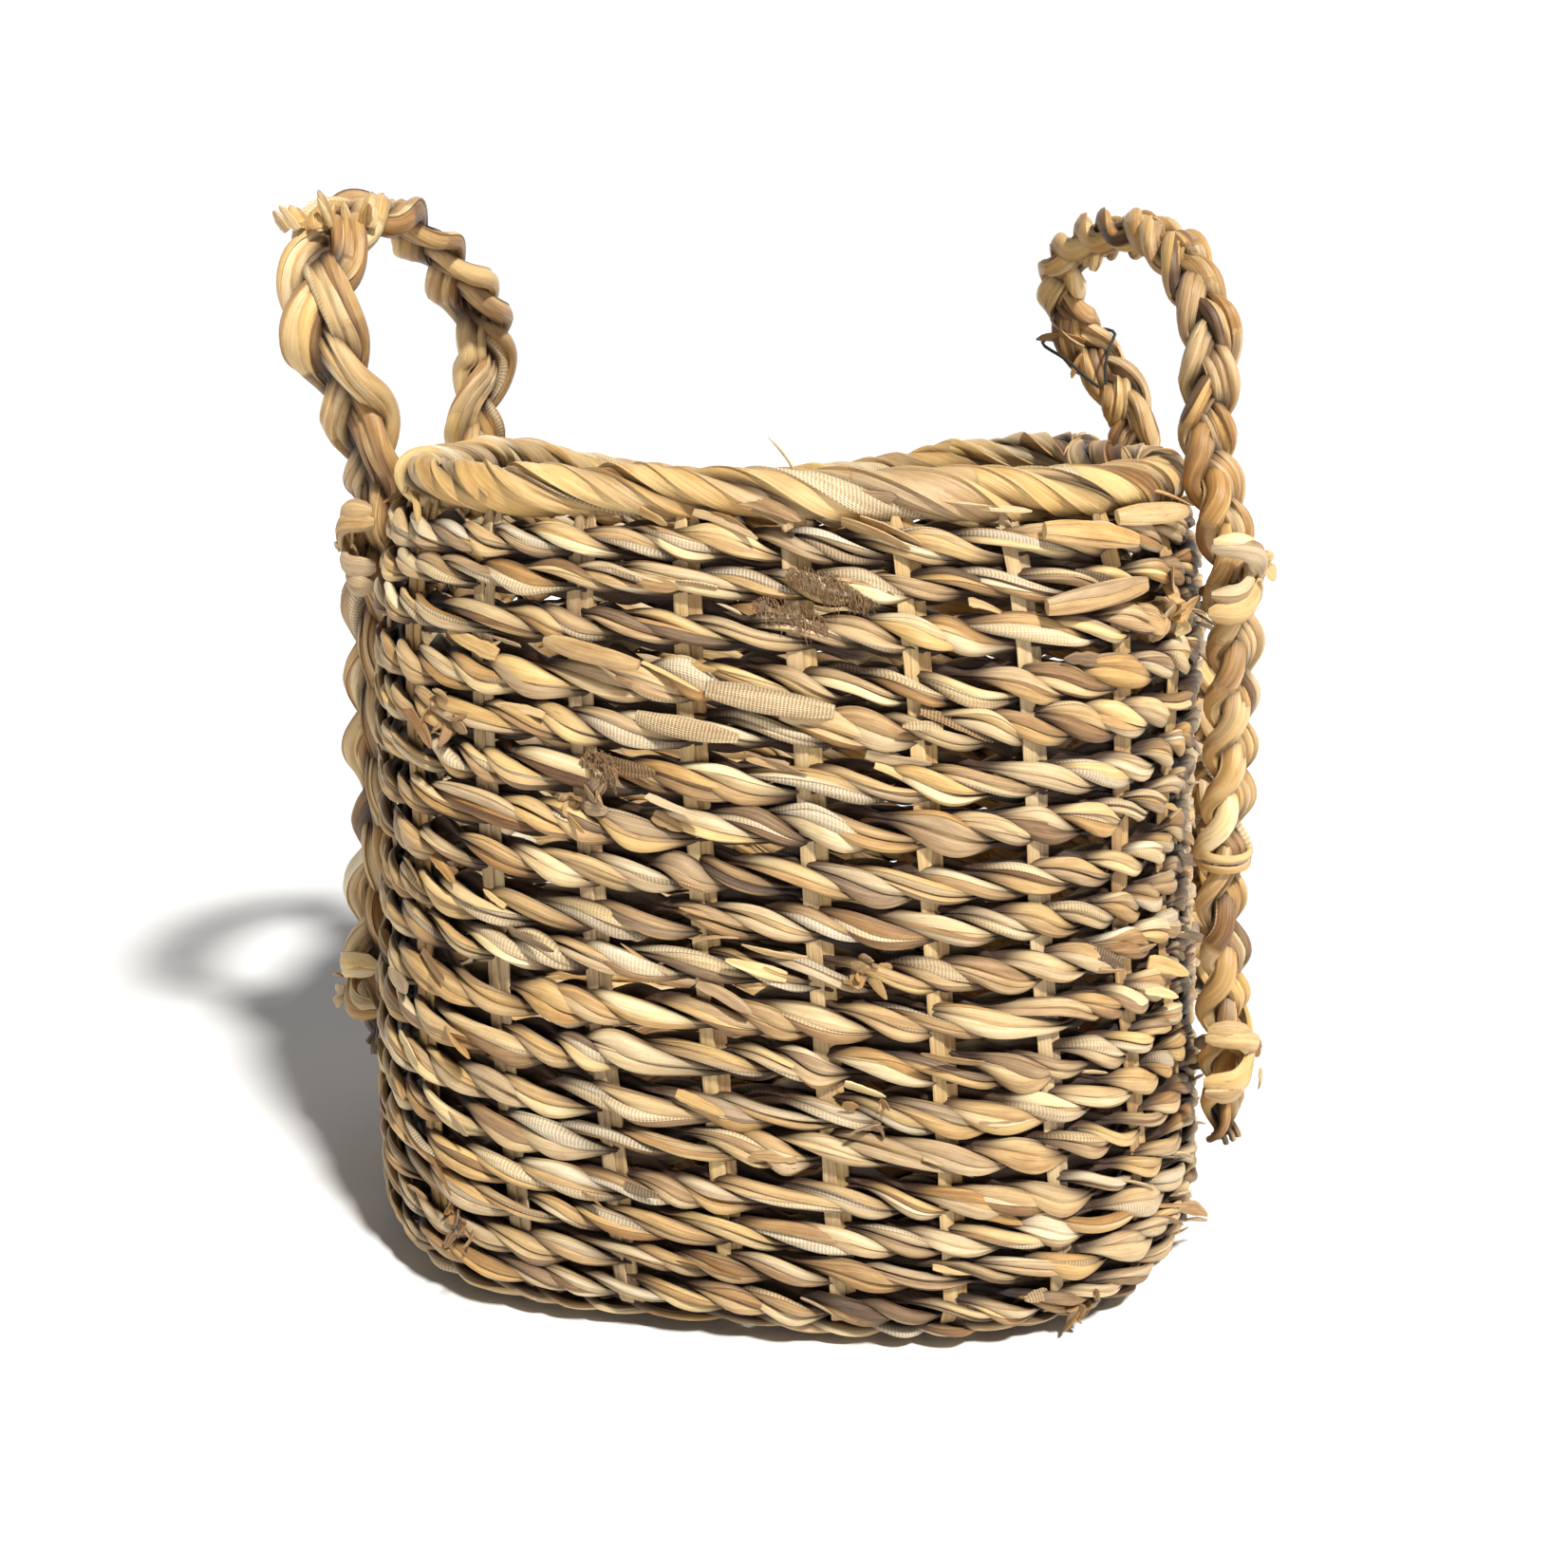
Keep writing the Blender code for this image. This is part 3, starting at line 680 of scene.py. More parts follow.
def stake(name, first, second, layer):
    """Two flat leaves side by side, down one wall, under the base and up the other wall."""
    rng = np.random.default_rng(900 + first * 31 + second)
    bundle = Bundle()
    climb = np.linspace(0.0, WALL_LENGTH + 0.004, 90)
    for way in (-1, 1):
        middles, wides, thicks = [], [], []
        for upright, side in ((first, -1), (second, 1)):
            turn = upright / STAKES - LEAN * climb / WALL_LENGTH
            outward = 0.0007 + 0.0004 * way
            middle = wall_point(turn, climb, outward)
            upwards, outwards = wall_ways(turn, climb)
            sideways = unit(np.cross(upwards, outwards)) * side
            middle = middle + sideways * way * 0.0019
            order = slice(None, None, -1) if side < 0 else slice(None)
            middles.append(middle[order])
            wides.append(sideways[order])
            thicks.append(outwards[order])
        near, far = middles[0][-1], middles[1][0]
        share = np.linspace(0.08, 0.92, 12)[:, None]
        crossing = near + (far - near) * share
        crossing[:, 2] = layer + 0.0002 * way
        middles.insert(1, crossing)
        wides.insert(1, np.repeat(wides[0][-1][None], 12, axis=0))
        thicks.insert(1, np.repeat(-UP[None], 12, axis=0))
        middle = np.concatenate(middles)
        rings = len(middle)
        wide = 0.0024 + 0.0003 * wobble(rng, rings, 40, False)
        wide[:3] *= (0.35, 0.7, 0.9)
        wide[-3:] *= (0.9, 0.7, 0.35)
        thick = np.full(rings, 0.0006)
        tone = float(np.clip(rng.normal(0.52, 0.06), 0.36, 0.7))
        strip(bundle, rng, middle, np.concatenate(wides), np.concatenate(thicks), wide, thick, tone, 0.0)
    made = bundle.build("leaf_" + name, STAKE_PAINT)
    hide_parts(name)
    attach(made, "body")


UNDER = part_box("base_under")
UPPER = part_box("base_upper")
LOWER_LAYER, UPPER_LAYER = 0.0047, 0.0075
for j in range(-3, 4):
    stake(f"stake_front_back_{j + 4}", 21 + j, 7 - j, LOWER_LAYER)
    stake(f"stake_left_right_{j + 4}", j, 14 - j, UPPER_LAYER)

# ---------------------------------------------------------------- rim


RIM_PLIES, RIM_TURNS = 3, 9  # strands of the cable, and their turns once round the rim
RIM_RINGS = 980
RIM_OUT, RIM_UP = 0.0044, 0.0037  # how far a strand lies from the cable's middle
RIM_WIDE, RIM_THICK = 0.0051, 0.0041  # half sizes of a strand


def rim():
    """Three thick strands laid up like a cable over the top of the stakes."""
    rng = np.random.default_rng(77)
    low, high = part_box("rim_border")
    radius = (high[1] - low[1]) / 2 - 0.0085
    level = high[2] - 0.0074
    rings = RIM_RINGS
    turn = np.arange(rings) / rings
    bundle = Bundle()
    way_out = unit(place(turn, radius + 0.004, level) - place(turn, radius - 0.004, level))
    way_up = unit(place(turn, radius, level + 0.002) - place(turn, radius, level - 0.002))
    centre = place(turn, np.full(rings, radius), np.full(rings, level))
    # Painted shade: leaves darken deep inside the cable, between its strands, where shade falls
    shade = painted_core_shade(centre, (way_out, way_up), (1.0, 0.9), 0.03, 0.0047, 0.0082)
    for ply in range(RIM_PLIES):
        phase = 2 * np.pi * (RIM_TURNS * turn + ply / RIM_PLIES)
        phase = phase + 0.22 * wobble(rng, rings, 27, True)
        out = RIM_OUT * np.cos(phase)
        up = -RIM_UP * np.sin(phase) + 0.0006 * wobble(rng, rings, 25, True)
        middle = centre + way_out * out[:, None] + way_up * up[:, None]
        radial = unit(way_out * np.cos(phase)[:, None] - way_up * np.sin(phase)[:, None])
        round_way = unit(way_out * np.sin(phase)[:, None] + way_up * np.cos(phase)[:, None])
        groups = RIM_TURNS * 2
        visible = np.floor((phase + np.pi / 2) / (2 * np.pi)).astype(int)
        visible -= visible.min()
        tone, net, seeds = leaf_choice(rng, groups, 4, 0.55, 0.07, 0.06)
        shift = rng.normal(0.0, 0.05, groups)[visible % groups][:, None]
        fat = rng.normal(0.0, 1.0, groups)[visible % groups] * np.cos(phase) ** 2
        wide = RIM_WIDE * np.clip(1 + 0.13 * fat, 0.75, 1.3) * (1 + 0.10 * wobble(rng, rings, 44, True))
        thick = RIM_THICK * (1 + 0.10 * wobble(rng, rings, 40, True))
        leafy_strand(
            bundle,
            rng,
            middle,
            round_way,
            radial,
            wide,
            thick,
            turn * PLAN_LENGTH * radius,
            tone=np.clip(tone[(visible // 2) % groups] + shift, 0.02, 1.0),
            net=net[(visible // 2) % groups],
            seeds=seeds[(visible // 2) % groups],
            shade=shade,
            seam=rng.uniform(0, 2 * np.pi) + 2 * np.pi * rng.integers(-6, 7) * turn,
            closed=True,
        )
    made = bundle.build("cable_rim", RIM_PAINT)
    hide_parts("rim_border")
    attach(made, "body")


rim()

# ---------------------------------------------------------------- base


BASE_RINGS = 10
BASE_SWING, BASE_RISE = 0.0029, 0.0033  # how far the base's strands swing sideways, and up and down
BASE_THICK = 0.0023


def base_weave():
    """The base is twined too, in rings that grow out to the foot of the wall."""
    rng = np.random.default_rng(31)
    bundle = Bundle()
    level = (UNDER[0][2] + UPPER[1][2]) / 2
    outermost = UNDER[1][1] - 0.0045
    for i in range(BASE_RINGS):
        radius = outermost * (1 - i / BASE_RINGS) + 0.002
        rings = max(40, int(PLAN_LENGTH * radius / 0.0022))
        turn = np.arange(rings) / rings
        halves = 2 * max(2, int(round(PLAN_LENGTH * radius / 0.066)))
        centre = place(turn, np.full(rings, radius), np.full(rings, level))
        upwards = np.repeat(UP[None], rings, axis=0)
        for strand in range(2):
            phase = np.pi * halves * turn + np.pi * (strand + i)
            up = BASE_RISE * np.cos(phase)
            out = BASE_SWING * np.sin(phase)
            middle = place(turn, radius + out, np.full(rings, level))
            middle = middle + UP * up[:, None]
            outwards = unit(place(turn, radius + 0.002, level) - place(turn, radius - 0.002, level))
            group = np.floor((phase + np.pi / 2) / np.pi).astype(int)
            group -= group.min()
            tone, net, seeds = leaf_choice(rng, halves, 3, 0.42, 0.12, 0.10)
            which = group % halves
            leafy_strand(
                bundle,
                rng,
                middle,
                outwards,
                upwards,
                0.0030 + 0.0024 * np.abs(np.cos(phase)),
                np.full(rings, BASE_THICK),
                turn * PLAN_LENGTH * radius,
                tone=tone[which],
                net=net[which],
                seeds=seeds[which],
                # Painted shade: leaves darken deep inside the base, where shade falls
                shade=painted_core_shade(centre, (upwards,), (1.0,), 0.2, 0.0, 0.004),
                seam=rng.uniform(0, 2 * np.pi) + 0 * turn,
                closed=True,
            )
    made = bundle.build("twined_base", BASE_PAINT)
    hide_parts("base_under", "base_upper")
    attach(made, "body")


base_weave()

# ---------------------------------------------------------------- handles

PIVOT_LEVEL = 0.2900
LEG_TOP, LEG_FOOT = 0.2812, 0.045
LEFT_LOOP = (
    (-0.1465, -0.057, PIVOT_LEVEL),
    (-0.152, -0.068, 0.315),
    (-0.156, -0.060, 0.338),
    (-0.157, -0.035, 0.355),
    (-0.153, -0.008, 0.359),
    (-0.147, 0.018, 0.351),
    (-0.141, 0.042, 0.336),
    (-0.139, 0.058, 0.318),
    (-0.139, 0.062, 0.304),
    (-0.142, 0.055, PIVOT_LEVEL),
)
RIGHT_LOOP = (
    (0.138, -0.060, PIVOT_LEVEL),
    (0.138, -0.062, 0.308),
    (0.135, -0.055, 0.325),
    (0.128, -0.038, 0.341),
    (0.118, -0.012, 0.350),
    (0.107, 0.012, 0.351),
    (0.096, 0.034, 0.347),
    (0.091, 0.050, 0.337),
    (0.094, 0.060, 0.324),
    (0.102, 0.062, 0.312),
    (0.112, 0.059, 0.301),
    (0.1195, 0.055, PIVOT_LEVEL),
)


def smooth_path(points, steps):
    """A smooth curve through the points, with this many steps between each pair."""
    points = np.array(points, float)
    ends = np.concatenate([[2 * points[0] - points[1]], points, [2 * points[-1] - points[-2]]])
    found = []
    for i in range(1, len(ends) - 2):
        before, a, b, after = ends[i - 1 : i + 3]
        for step in range(steps):
            t = step / steps
            found.append(
                0.5
                * (
                    2 * a
                    + (b - before) * t
                    + (2 * before - 5 * a + 4 * b - after) * t * t
                    + (3 * a - before - 3 * b + after) * t * t * t
                )
            )
    found.append(points[-1])
    return np.array(found)


def evenly(path, spacing):
    """The same path with points this far apart."""
    travel = travelled(path)
    spots = np.linspace(0.0, travel[-1], int(round(travel[-1] / spacing)) + 1)
    return np.stack([np.interp(spots, travel, path[:, k]) for k in range(3)], axis=-1), spots


def leg_middle(node, height):
    """The middle of a leg at this height, from where the level plane cuts its mesh."""
    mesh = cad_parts[node].data
    world = np.array(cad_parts[node].matrix_world)
    points = np.empty(len(mesh.vertices) * 3)
    mesh.vertices.foreach_get("co", points)
    points = points.reshape(-1, 3) @ world[:3, :3].T + world[:3, 3]
    pairs = np.empty(len(mesh.edges) * 2, np.int32)
    mesh.edges.foreach_get("vertices", pairs)
    a, b = points[pairs.reshape(-1, 2)].transpose(1, 0, 2)
    crossed = (a[:, 2] - height) * (b[:, 2] - height) < 0
    a, b = a[crossed], b[crossed]
    share = ((height - a[:, 2]) / (b[:, 2] - a[:, 2]))[:, None]
    cut = a + (b - a) * share
    return (cut.min(axis=0) + cut.max(axis=0)) / 2


def leg_path(node):
    """The middle line of a leg, from its foot up to the rim."""
    heights = np.linspace(LEG_FOOT + 0.002, LEG_TOP - 0.002, 40)
    return np.array([leg_middle(node, height) for height in heights])


def plait(name, side, edge_on, loop, front, back, wide, thick, lay, strand_wide, strand_thick, slack):
    """Three strands plaited flat, up one leg, over the loop and down the other leg.

    edge_on is 1 for a plait that has turned its edge forwards on its back half, and 0 otherwise.
    """
    rng = np.random.default_rng(55 + len(name))
    first = leg_path(front)
    last = leg_path(back)[::-1]
    path = np.concatenate([first, smooth_path(loop, 12), last])
    path, travel = evenly(path, 0.0016)
    kernel = np.ones(9) / 9
    padded = np.pad(path, ((4, 4), (0, 0)), mode="edge")
    path = np.stack([np.convolve(padded[:, k], kernel, mode="valid") for k in range(3)], axis=-1)
    along = unit(np.gradient(path, axis=0))
    rear = edge_on * ramp(path[:, 1:2], -0.010, 0.030)
    turned = ramp(path[:, 2:3] - 0.040 * rear, 0.262, 0.300)
    facing = np.where(path[:, 1:2] < 0, 1.0, -1.0)
    loop_way = np.array((1.0, 0.0, 0.0))
    leg_way = (0.7 - 0.5 * rear) * loop_way + 0.7 * facing * side * np.array((0.0, 1.0, 0.0))
    wide_way = leg_way * (1 - turned) + loop_way * turned
    wide_way = square_to(along, wide_way)
    thick_way = np.cross(along, wide_way)
    total = travel[-1]
    ends = ramp(travel, 0.0, 0.035) * ramp(total - travel, 0.0, 0.035)
    bundle = Bundle()
    rings = len(path)
    sizes = (wide + strand_wide, thick + strand_thick)
    # Painted shade: leaves darken deep inside the plait, between its strands, where shade falls
    shade = painted_core_shade(path, (wide_way, thick_way), sizes, 0.05, 0.44, 0.90)
    for strand in range(3):
        cycle = travel / lay + strand / 3
        drift = 0.05 * wobble(rng, rings, total / 0.05, False)
        sway = 2 * np.pi * (cycle + drift)
        spread = 0.45 + 0.55 * ends
        middle = path + wide_way * (wide * spread * np.sin(sway))[:, None]
        middle = middle + thick_way * (thick * np.sin(2 * sway))[:, None]
        middle = middle + thick_way * (0.0006 * wobble(rng, rings, total / 0.03, False))[:, None]
        ahead = unit(np.gradient(middle, axis=0))
        w = square_to(ahead, wide_way)
        t = np.cross(ahead, w)
        roll = 0.5 * np.cos(sway) + 0.2 * wobble(rng, rings, total / 0.05, False)
        w, t = (
            w * np.cos(roll)[:, None] + t * np.sin(roll)[:, None],
            t * np.cos(roll)[:, None] - w * np.sin(roll)[:, None],
        )
        groups = int(total / (lay / 2)) + 3
        which = np.floor((cycle + 0.25) * 2).astype(int)
        which = np.clip(which - which.min(), 0, groups - 1)
        for part in (-1, 0, 1):
            runs = np.cumsum(rng.random(groups) < 0.5)
            tone, net, seeds = leaf_choice(rng, runs[-1] + 1, 2, 0.50, 0.09, 0.04)
            shift = rng.normal(0.0, 0.05, groups)[which][:, None]
            aside = part * strand_wide * (0.58 + 0.16 * wobble(rng, rings, total / 0.04, False))
            lift = 0.0007 * (part + wobble(rng, rings, total / 0.03, False))[:, None]
            size = (0.45 + 0.55 * ends) * (1 + 0.16 * wobble(rng, rings, total / 0.02, False))
            leafy_strand(
                bundle,
                rng,
                middle + w * aside[:, None] + t * lift,
                w,
                t,
                rng.uniform(0.46, 0.66) * strand_wide * size,
                strand_thick * size,
                travel,
                tone=np.clip(tone[runs[which]] + shift, 0.02, 1.0),
                net=net[runs[which]],
                seeds=seeds[runs[which]],
                shade=shade,
                seam=rng.uniform(0, 2 * np.pi) + 2 * np.pi * 0.5 * travel / lay,
                closed=False,
            )
    made = bundle.build(name, HANDLE_PAINT)
    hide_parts(slack + "_loop", front, back)
    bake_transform(made)


plait(
    "left_plait",
    -1,
    1,
    LEFT_LOOP,
    "left_front_leg",
    "left_back_leg",
    wide=0.0082,
    thick=0.0028,
    lay=0.078,
    strand_wide=0.0056,
    strand_thick=0.0034,
    slack="left_handle",
)
plait(
    "right_plait",
    1,
    0,
    RIGHT_LOOP,
    "right_front_leg",
    "right_back_leg",
    wide=0.0048,
    thick=0.0028,
    lay=0.052,
    strand_wide=0.0044,
    strand_thick=0.0034,
    slack="right_handle",
)

# ---------------------------------------------------------------- lashings


def ring_strand(bundle, rng, middle, outwards, wide, thick, tone, net=0.0, leaves=2):
    """A loose binding strand along a path, flat against what it crosses."""
    rings = len(middle)
    along = unit(np.gradient(middle, axis=0))
    out = square_to(along, outwards)
    side = np.cross(along, out)
    travel = travelled(middle)
    tones = np.clip(rng.normal(tone, 0.07, leaves), 0.05, 0.95)
    ends = 0.35 + 0.65 * ramp(travel, 0.0, 0.004) * ramp(travel[-1] - travel, 0.0, 0.004)
    leafy_strand(
        bundle,
        rng,
        middle,
        side,
        out,
        wide * ends * (1 + 0.15 * wobble(rng, rings, 5, False)),
        thick * ends,
        travel,
        tone=np.repeat(tones[None], rings, axis=0),
        net=np.full((rings, leaves), net),
        seeds=np.repeat(rng.uniform(0, 50, leaves)[None], rings, axis=0),
        shade=lambda points: np.full(points.shape[:2], 0.92),
        seam=rng.uniform(0, 6.28) + 0 * travel,
        closed=False,
    )


def wisp(bundle, rng, start, way, bend, length, wide, thick, tone, net=0.0, shade=0.95):
    """A short loose leaf end that starts inside the weave and curves away from it."""
    t = np.linspace(0.0, 1.0, 9)
    way, bend = np.array(way, float), np.array(bend, float)
    middle = np.array(start) + length * (t[:, None] * way + (t**2)[:, None] * bend)
    middle[:, 2] = np.maximum(middle[:, 2], 0.0012 + 0.0003 * t)
    along = unit(np.gradient(middle, axis=0))
    side = np.cross(along, rng.normal(0.0, 0.35, 3) + bend + 0.01)
    side = unit(side)
    out = np.cross(side, along)
    taper = np.array((0.8, 1.0, 1.0, 1.0, 0.97, 0.9, 0.8, 0.62, 0.22))
    taper = taper * (1 + 0.12 * rng.uniform(-1, 1, 9))
    strip(bundle, rng, middle, side, out, wide * taper, thick * taper, tone, net, shade)


def lashing(node, seed, crossings, tips):
    """A knotted binding: strands that cross over the leg and go into the wall on both sides."""
    rng = np.random.default_rng(seed)
    low, high = (np.array(corner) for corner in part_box(node))
    side = 1.0 if low[0] > 0 else -1.0
    outer = high[0] if side > 0 else low[0]
    inner = low[0] if side > 0 else high[0]
    y, z = (low[1] + high[1]) / 2, (low[2] + high[2]) / 2
    half = (high[1] - low[1]) / 2 - 0.001
    bundle = Bundle()
    for i in range(crossings):
        turn = np.linspace(-0.12, np.pi + 0.12, 34)
        slope = (0.0105 if i % 2 else -0.0090) * rng.uniform(0.7, 1.2)
        rise = rng.uniform(-0.0025, 0.0025)
        bulk = outer - side * (0.0074 - 0.0011 * i)
        lift = np.sign(np.sin(turn)) * np.abs(np.sin(turn)) ** 0.6
        x = inner + (bulk - inner) * lift
        middle = np.stack([x, y - half * np.cos(turn), z + rise + slope * np.cos(turn)], axis=-1)
        outwards = np.stack([side * np.sin(turn), -np.cos(turn) * 0.9, 0 * turn], axis=-1)
        ring_strand(
            bundle, rng, middle, outwards, rng.uniform(0.0032, 0.0044), 0.0017, rng.uniform(0.45, 0.68)
        )
    for i in range(tips):
        start = (outer - side * 0.003, y + rng.uniform(-0.8, 0.8) * half, z + rng.uniform(-0.004, 0.004))
        way = (side * rng.uniform(0.1, 0.4), rng.uniform(-0.7, 0.7), rng.uniform(-1.0, 0.3))
        bend = (side * rng.uniform(-0.3, 0.3), rng.uniform(-0.5, 0.5), rng.uniform(-0.8, 0.2))
        length = rng.uniform(0.004, 0.008)
        wisp(bundle, rng, start, way, bend, length, 0.0022, 0.0005, rng.uniform(0.35, 0.65))
    made = bundle.build("knotted_" + node, LASHING_PAINT)
    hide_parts(node)
    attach(made, "body")


for i, leg in enumerate(("left_front", "left_back", "right_front", "right_back")):
    lashing(f"{leg}_upper_lashing", 10 + i, 4, 3)
    lashing(f"{leg}_lower_lashing", 20 + i, 4, 3)

# ---------------------------------------------------------------- loose ends, frays and thread


def weave_spot(turn, level, out=0.005):
    """A point this far out from the wall at this height, and the ways along, up and out there."""
    heights = wall_at(np.linspace(0, WALL_LENGTH, 200))[1]
    distance = np.interp(level, heights, np.linspace(0, WALL_LENGTH, 200))
    upwards, outwards = wall_ways(turn, distance)
    return wall_point(turn, distance, out), np.cross(upwards, outwards), upwards, outwards


def random_ends(bundle, rng, count):
    """Leaf ends that lie on the weave all the way round."""
    for _ in range(count):
        turn = rng.random()
        level = rng.uniform(0.012, 0.256)
        spot, along, upwards, outwards = weave_spot(turn, level, rng.uniform(0.0030, 0.0048))
        heading = 1.0 if rng.random() < 0.7 else -1.0
        way = heading * along + upwards * rng.uniform(-0.40, -0.10) * heading + outwards * 0.08
        bend = outwards * rng.uniform(-0.08, 0.08) + upwards * rng.uniform(-0.25, 0.15)
        tone = float(np.clip(rng.normal(0.50, 0.16), 0.08, 0.9))
        net = 0.8 if rng.random() < 0.2 else 0.0
        length = rng.uniform(0.009, 0.022)
        wide = rng.uniform(0.0010, 0.0027)
        wisp(bundle, rng, spot, way, bend, length, wide, 0.00045, tone, net)


def fuzz(bundle, rng, turn, level, long_half, high_half, count, tone):
    """A worn patch where a leaf has split into short fibres."""
    for _ in range(count):
        a, b = rng.uniform(-1, 1, 2)
        spot, along, upwards, outwards = weave_spot(turn, level, 0.0064 - 0.0026 * b * b)
        high = high_half * math.sqrt(max(0.0, 1 - a * a)) * b - 0.30 * a * long_half
        start = spot + along * a * long_half + upwards * high
        way = along * rng.uniform(-0.2, 0.6) + upwards * rng.uniform(-1.0, 0.1) + outwards * 0.2
        bend = outwards * rng.uniform(-0.5, 0.0) + upwards * rng.uniform(-0.5, 0.1)
        length = rng.uniform(0.002, 0.0042)
        shade = rng.uniform(0.45, 1.0)
        wisp(bundle, rng, start, way, bend, length, 0.00016, 0.00014, tone, 0.0, shade)


def knot(bundle, rng, turn, level, size, count, tone):
    """A frayed knot: crumpled leaf ends that stick out of the weave."""
    for _ in range(count):
        spot, along, upwards, outwards = weave_spot(turn, level, 0.0040)
        start = spot + along * rng.uniform(-0.5, 0.5) * size + upwards * rng.uniform(-0.5, 0.5) * size
        way = along * rng.uniform(-1, 1) + upwards * rng.uniform(-0.7, 0.7) + outwards * 0.30
        bend = rng.uniform(-0.6, 0.6, 3)
        length = size * rng.uniform(0.35, 0.75)
        wide = size * rng.uniform(0.14, 0.27)
        wisp(bundle, rng, start, way, bend, length, wide, 0.0004, tone * rng.uniform(0.7, 1.2))


def stub(bundle, rng, turn, level, length, wide, tone, net, slope):
    """A broad cut leaf that lies over the weave."""
    spot, along, upwards, outwards = weave_spot(turn, level, 0.0050)
    start = spot - along * length / 2
    way = along + upwards * slope + outwards * 0.05
    t = np.linspace(0.0, 1.0, 20)[:, None]
    arch = outwards * 0.0022 * np.sin(np.pi * t) ** 0.7
    middle = start + way * length * t + arch
    rings = len(middle)
    size = 0.30 + 0.70 * np.sin(np.pi * (0.12 + 0.82 * t[:, 0])) ** 0.8
    side = np.repeat(unit(upwards - way * (upwards @ way) / (way @ way))[None], rings, axis=0)
    out = np.repeat(outwards[None], rings, axis=0)
    tones = np.full((rings, 2), tone)
    leafy_strand(
        bundle,
        rng,
        middle,
        side,
        out,
        wide * size,
        0.0016 * size,
        length * t[:, 0],
        tone=tones,
        net=np.full((rings, 2), net),
        seeds=np.repeat(rng.uniform(0, 50, 2)[None], rings, axis=0),
        shade=lambda points: np.full(points.shape[:2], 1.0),
        seam=np.full(rings, rng.uniform(0, 6.28)),
        closed=False,
    )


# Where a fault lies, as a part of a turn and a height, then its size, how many ends, and tone
KNOTS = (
    (0.702, 0.180, 0.013, 9, 0.42),
    (0.787, 0.129, 0.010, 9, 0.40),
    (0.650, 0.202, 0.011, 8, 0.40),
    (0.655, 0.031, 0.012, 9, 0.35),
    (0.900, 0.234, 0.013, 10, 0.55),
    (0.864, 0.012, 0.011, 12, 0.38),
    (0.790, 0.082, 0.010, 6, 0.36),
)
# Where a cut leaf lies, then its length, half width, tone, netting and slope
STUBS = (
    (0.863, 0.259, 0.034, 0.0046, 0.50, 0.0, -0.15),
    (0.895, 0.262, 0.034, 0.0034, 0.58, 0.0, -0.02),
    (0.760, 0.214, 0.038, 0.0036, 0.60, 1.0, -0.15),
    (0.862, 0.238, 0.038, 0.0042, 0.44, 0.0, 0.12),
    (0.735, 0.205, 0.032, 0.0032, 0.60, 0.9, -0.15),
    (0.705, 0.226, 0.034, 0.0034, 0.50, 0.0, -0.15),
)


def wall_ends():
    """Loose ends, frayed knots and cut leaves on the outside of the walls."""
    rng = np.random.default_rng(5)
    bundle = Bundle()
    random_ends(bundle, rng, 260)
    for place_and_shape in KNOTS:
        knot(bundle, rng, *place_and_shape)
    for place_and_shape in STUBS:
        stub(bundle, rng, *place_and_shape)
    made = bundle.build("loose_leaf_ends", WEFT_PAINT)
    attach(made, "body")


# Where a worn patch lies, then its half length, half height, how many fibres, and tone
WORN_PATCHES = (
    (0.778, 0.244, 0.013, 0.0046, 400, 0.32),
    (0.766, 0.236, 0.011, 0.0042, 250, 0.32),
    (0.708, 0.190, 0.006, 0.0050, 180, 0.36),
)


def worn_fibres():
    """Patches where a leaf has worn into fibres."""
    rng = np.random.default_rng(6)
    bundle = Bundle()
    for place_and_shape in WORN_PATCHES:
        fuzz(bundle, rng, *place_and_shape)
    made = bundle.build("worn_leaf_fibres", WEFT_PAINT)
    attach(made, "body")


def rim_ends():
    """Cut ends tucked under the rim, and the thin wisp that stands above it."""
    rng = np.random.default_rng(8)
    bundle = Bundle()
    for _ in range(46):
        turn = rng.random()
        spot, along, upwards, outwards = weave_spot(turn, 0.2612, 0.004)
        spot = spot + upwards * rng.uniform(0.000, 0.010)
        way = along + upwards * rng.uniform(-0.5, -0.1) + outwards * rng.uniform(0.1, 0.35)
        bend = outwards * rng.uniform(-0.1, 0.2) + upwards * rng.uniform(-0.3, 0.1)
        tone = float(np.clip(rng.normal(0.5, 0.13), 0.1, 0.9))
        wide = rng.uniform(0.0012, 0.0032)
        wisp(bundle, rng, spot, way, bend, rng.uniform(0.010, 0.022), wide, 0.0005, tone)
    top = place(0.767, 0.1275, 0.2755)
    wisp(bundle, rng, top, (-0.3, 0.0, 1.0), (-0.5, 0.0, 0.1), 0.010, 0.0005, 0.0003, 0.7)
    made = bundle.build("rim_leaf_ends", RIM_PAINT)
    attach(made, "body")


def splice_tuft():
    """Short cut ends where new leaf was joined into the left handle, near its top."""
    rng = np.random.default_rng(12)
    bundle = Bundle()
    for _ in range(24):
        a = rng.uniform(-1, 1)
        start = (-0.157 + 0.013 * a, -0.047 + 0.014 * rng.uniform(-1, 1), 0.350 + 0.003 * rng.random())
        way = (0.40 * a - 0.15, rng.uniform(-0.6, 0.1), rng.uniform(0.7, 1.0))
        bend = rng.uniform(-0.25, 0.25, 3)
        tone = rng.uniform(0.42, 0.66)
        wide = rng.uniform(0.0017, 0.0026)
        wisp(bundle, rng, start, way, bend, rng.uniform(0.006, 0.010), wide, 0.0010, tone)
    made = bundle.build("left_handle_splice", HANDLE_PAINT)
    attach(made, "left_handle")


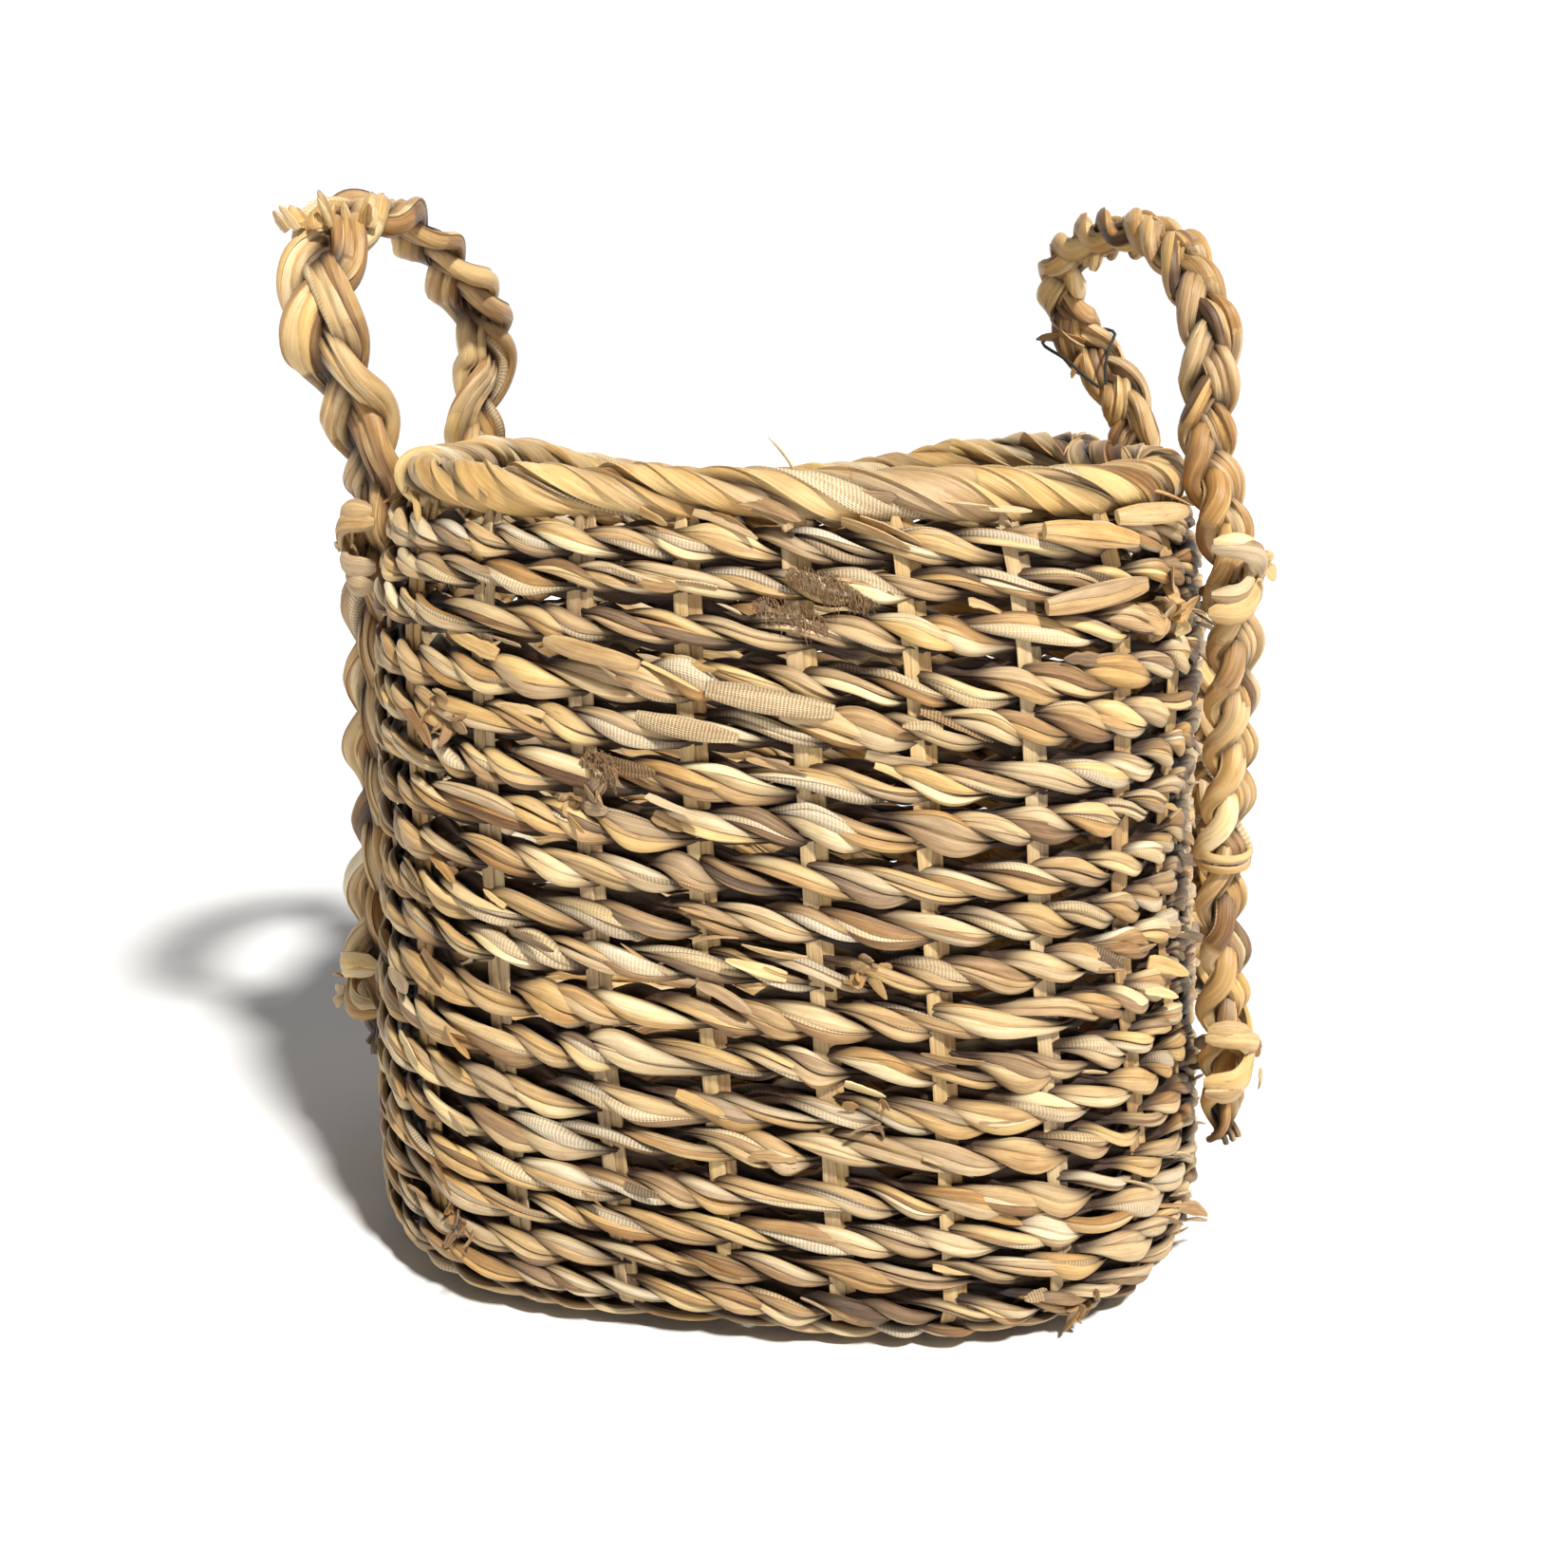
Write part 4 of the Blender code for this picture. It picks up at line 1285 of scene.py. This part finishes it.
def curled_tip():
    """A leaf tip that curls away from the right handle's back leg."""
    rng = np.random.default_rng(14)
    bundle = Bundle()
    base = (0.100, 0.058, 0.313)
    below = (0.101, 0.058, 0.309)
    wisp(bundle, rng, base, (-1.0, -0.1, 0.45), (0.15, 0.0, -0.35), 0.021, 0.0042, 0.0006, 0.34)
    wisp(bundle, rng, base, (-0.9, -0.3, 0.25), (0.1, 0.2, 0.35), 0.016, 0.0034, 0.0006, 0.42)
    wisp(bundle, rng, below, (-0.6, -0.3, -0.4), (0.2, 0.2, -0.3), 0.012, 0.002, 0.0005, 0.4)
    made = bundle.build("right_handle_curled_tip", HANDLE_PAINT)
    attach(made, "right_handle")


def leg_band():
    """A thin leaf wound once round the right handle's free-hanging front leg."""
    rng = np.random.default_rng(16)
    centre = leg_middle("right_front_leg", 0.150)
    bundle = Bundle()
    for rise in (-0.0016, 0.0018):
        turn = np.linspace(0.0, 2 * np.pi + 0.5, 40)
        out = np.stack([np.cos(turn), np.sin(turn), 0 * turn], axis=-1)
        middle = centre + out * np.array((0.0085, 0.0105, 0.0))
        middle[:, 2] += rise + 0.0010 * np.sin(turn)
        ring_strand(bundle, rng, middle, out, 0.0016, 0.0008, 0.55)
    made = bundle.build("right_leg_band", LASHING_PAINT)
    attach(made, "body")


def blacken_thread():
    """Black fibres for the thread, which keeps its CAD shape."""
    paint = bpy.data.materials.new("black_thread")
    paint.use_nodes = True
    tree = paint.node_tree
    shader = tree.nodes["Principled BSDF"]
    fibres = tree.nodes.new("ShaderNodeTexNoise")
    fibres.inputs["Scale"].default_value = 900.0
    shades = tree.nodes.new("ShaderNodeValToRGB")
    shades.color_ramp.elements[0].color = (0.004, 0.005, 0.006, 1.0)
    shades.color_ramp.elements[1].color = (0.030, 0.032, 0.036, 1.0)
    tree.links.new(fibres.outputs["Fac"], shades.inputs["Fac"])
    tree.links.new(shades.outputs["Color"], shader.inputs["Base Color"])
    shader.inputs["Roughness"].default_value = 0.75
    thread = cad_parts["tag_thread"]
    thread.data.materials.clear()
    thread.data.materials.append(paint)


wall_ends()
worn_fibres()
rim_ends()
splice_tuft()
curled_tip()
leg_band()
blacken_thread()
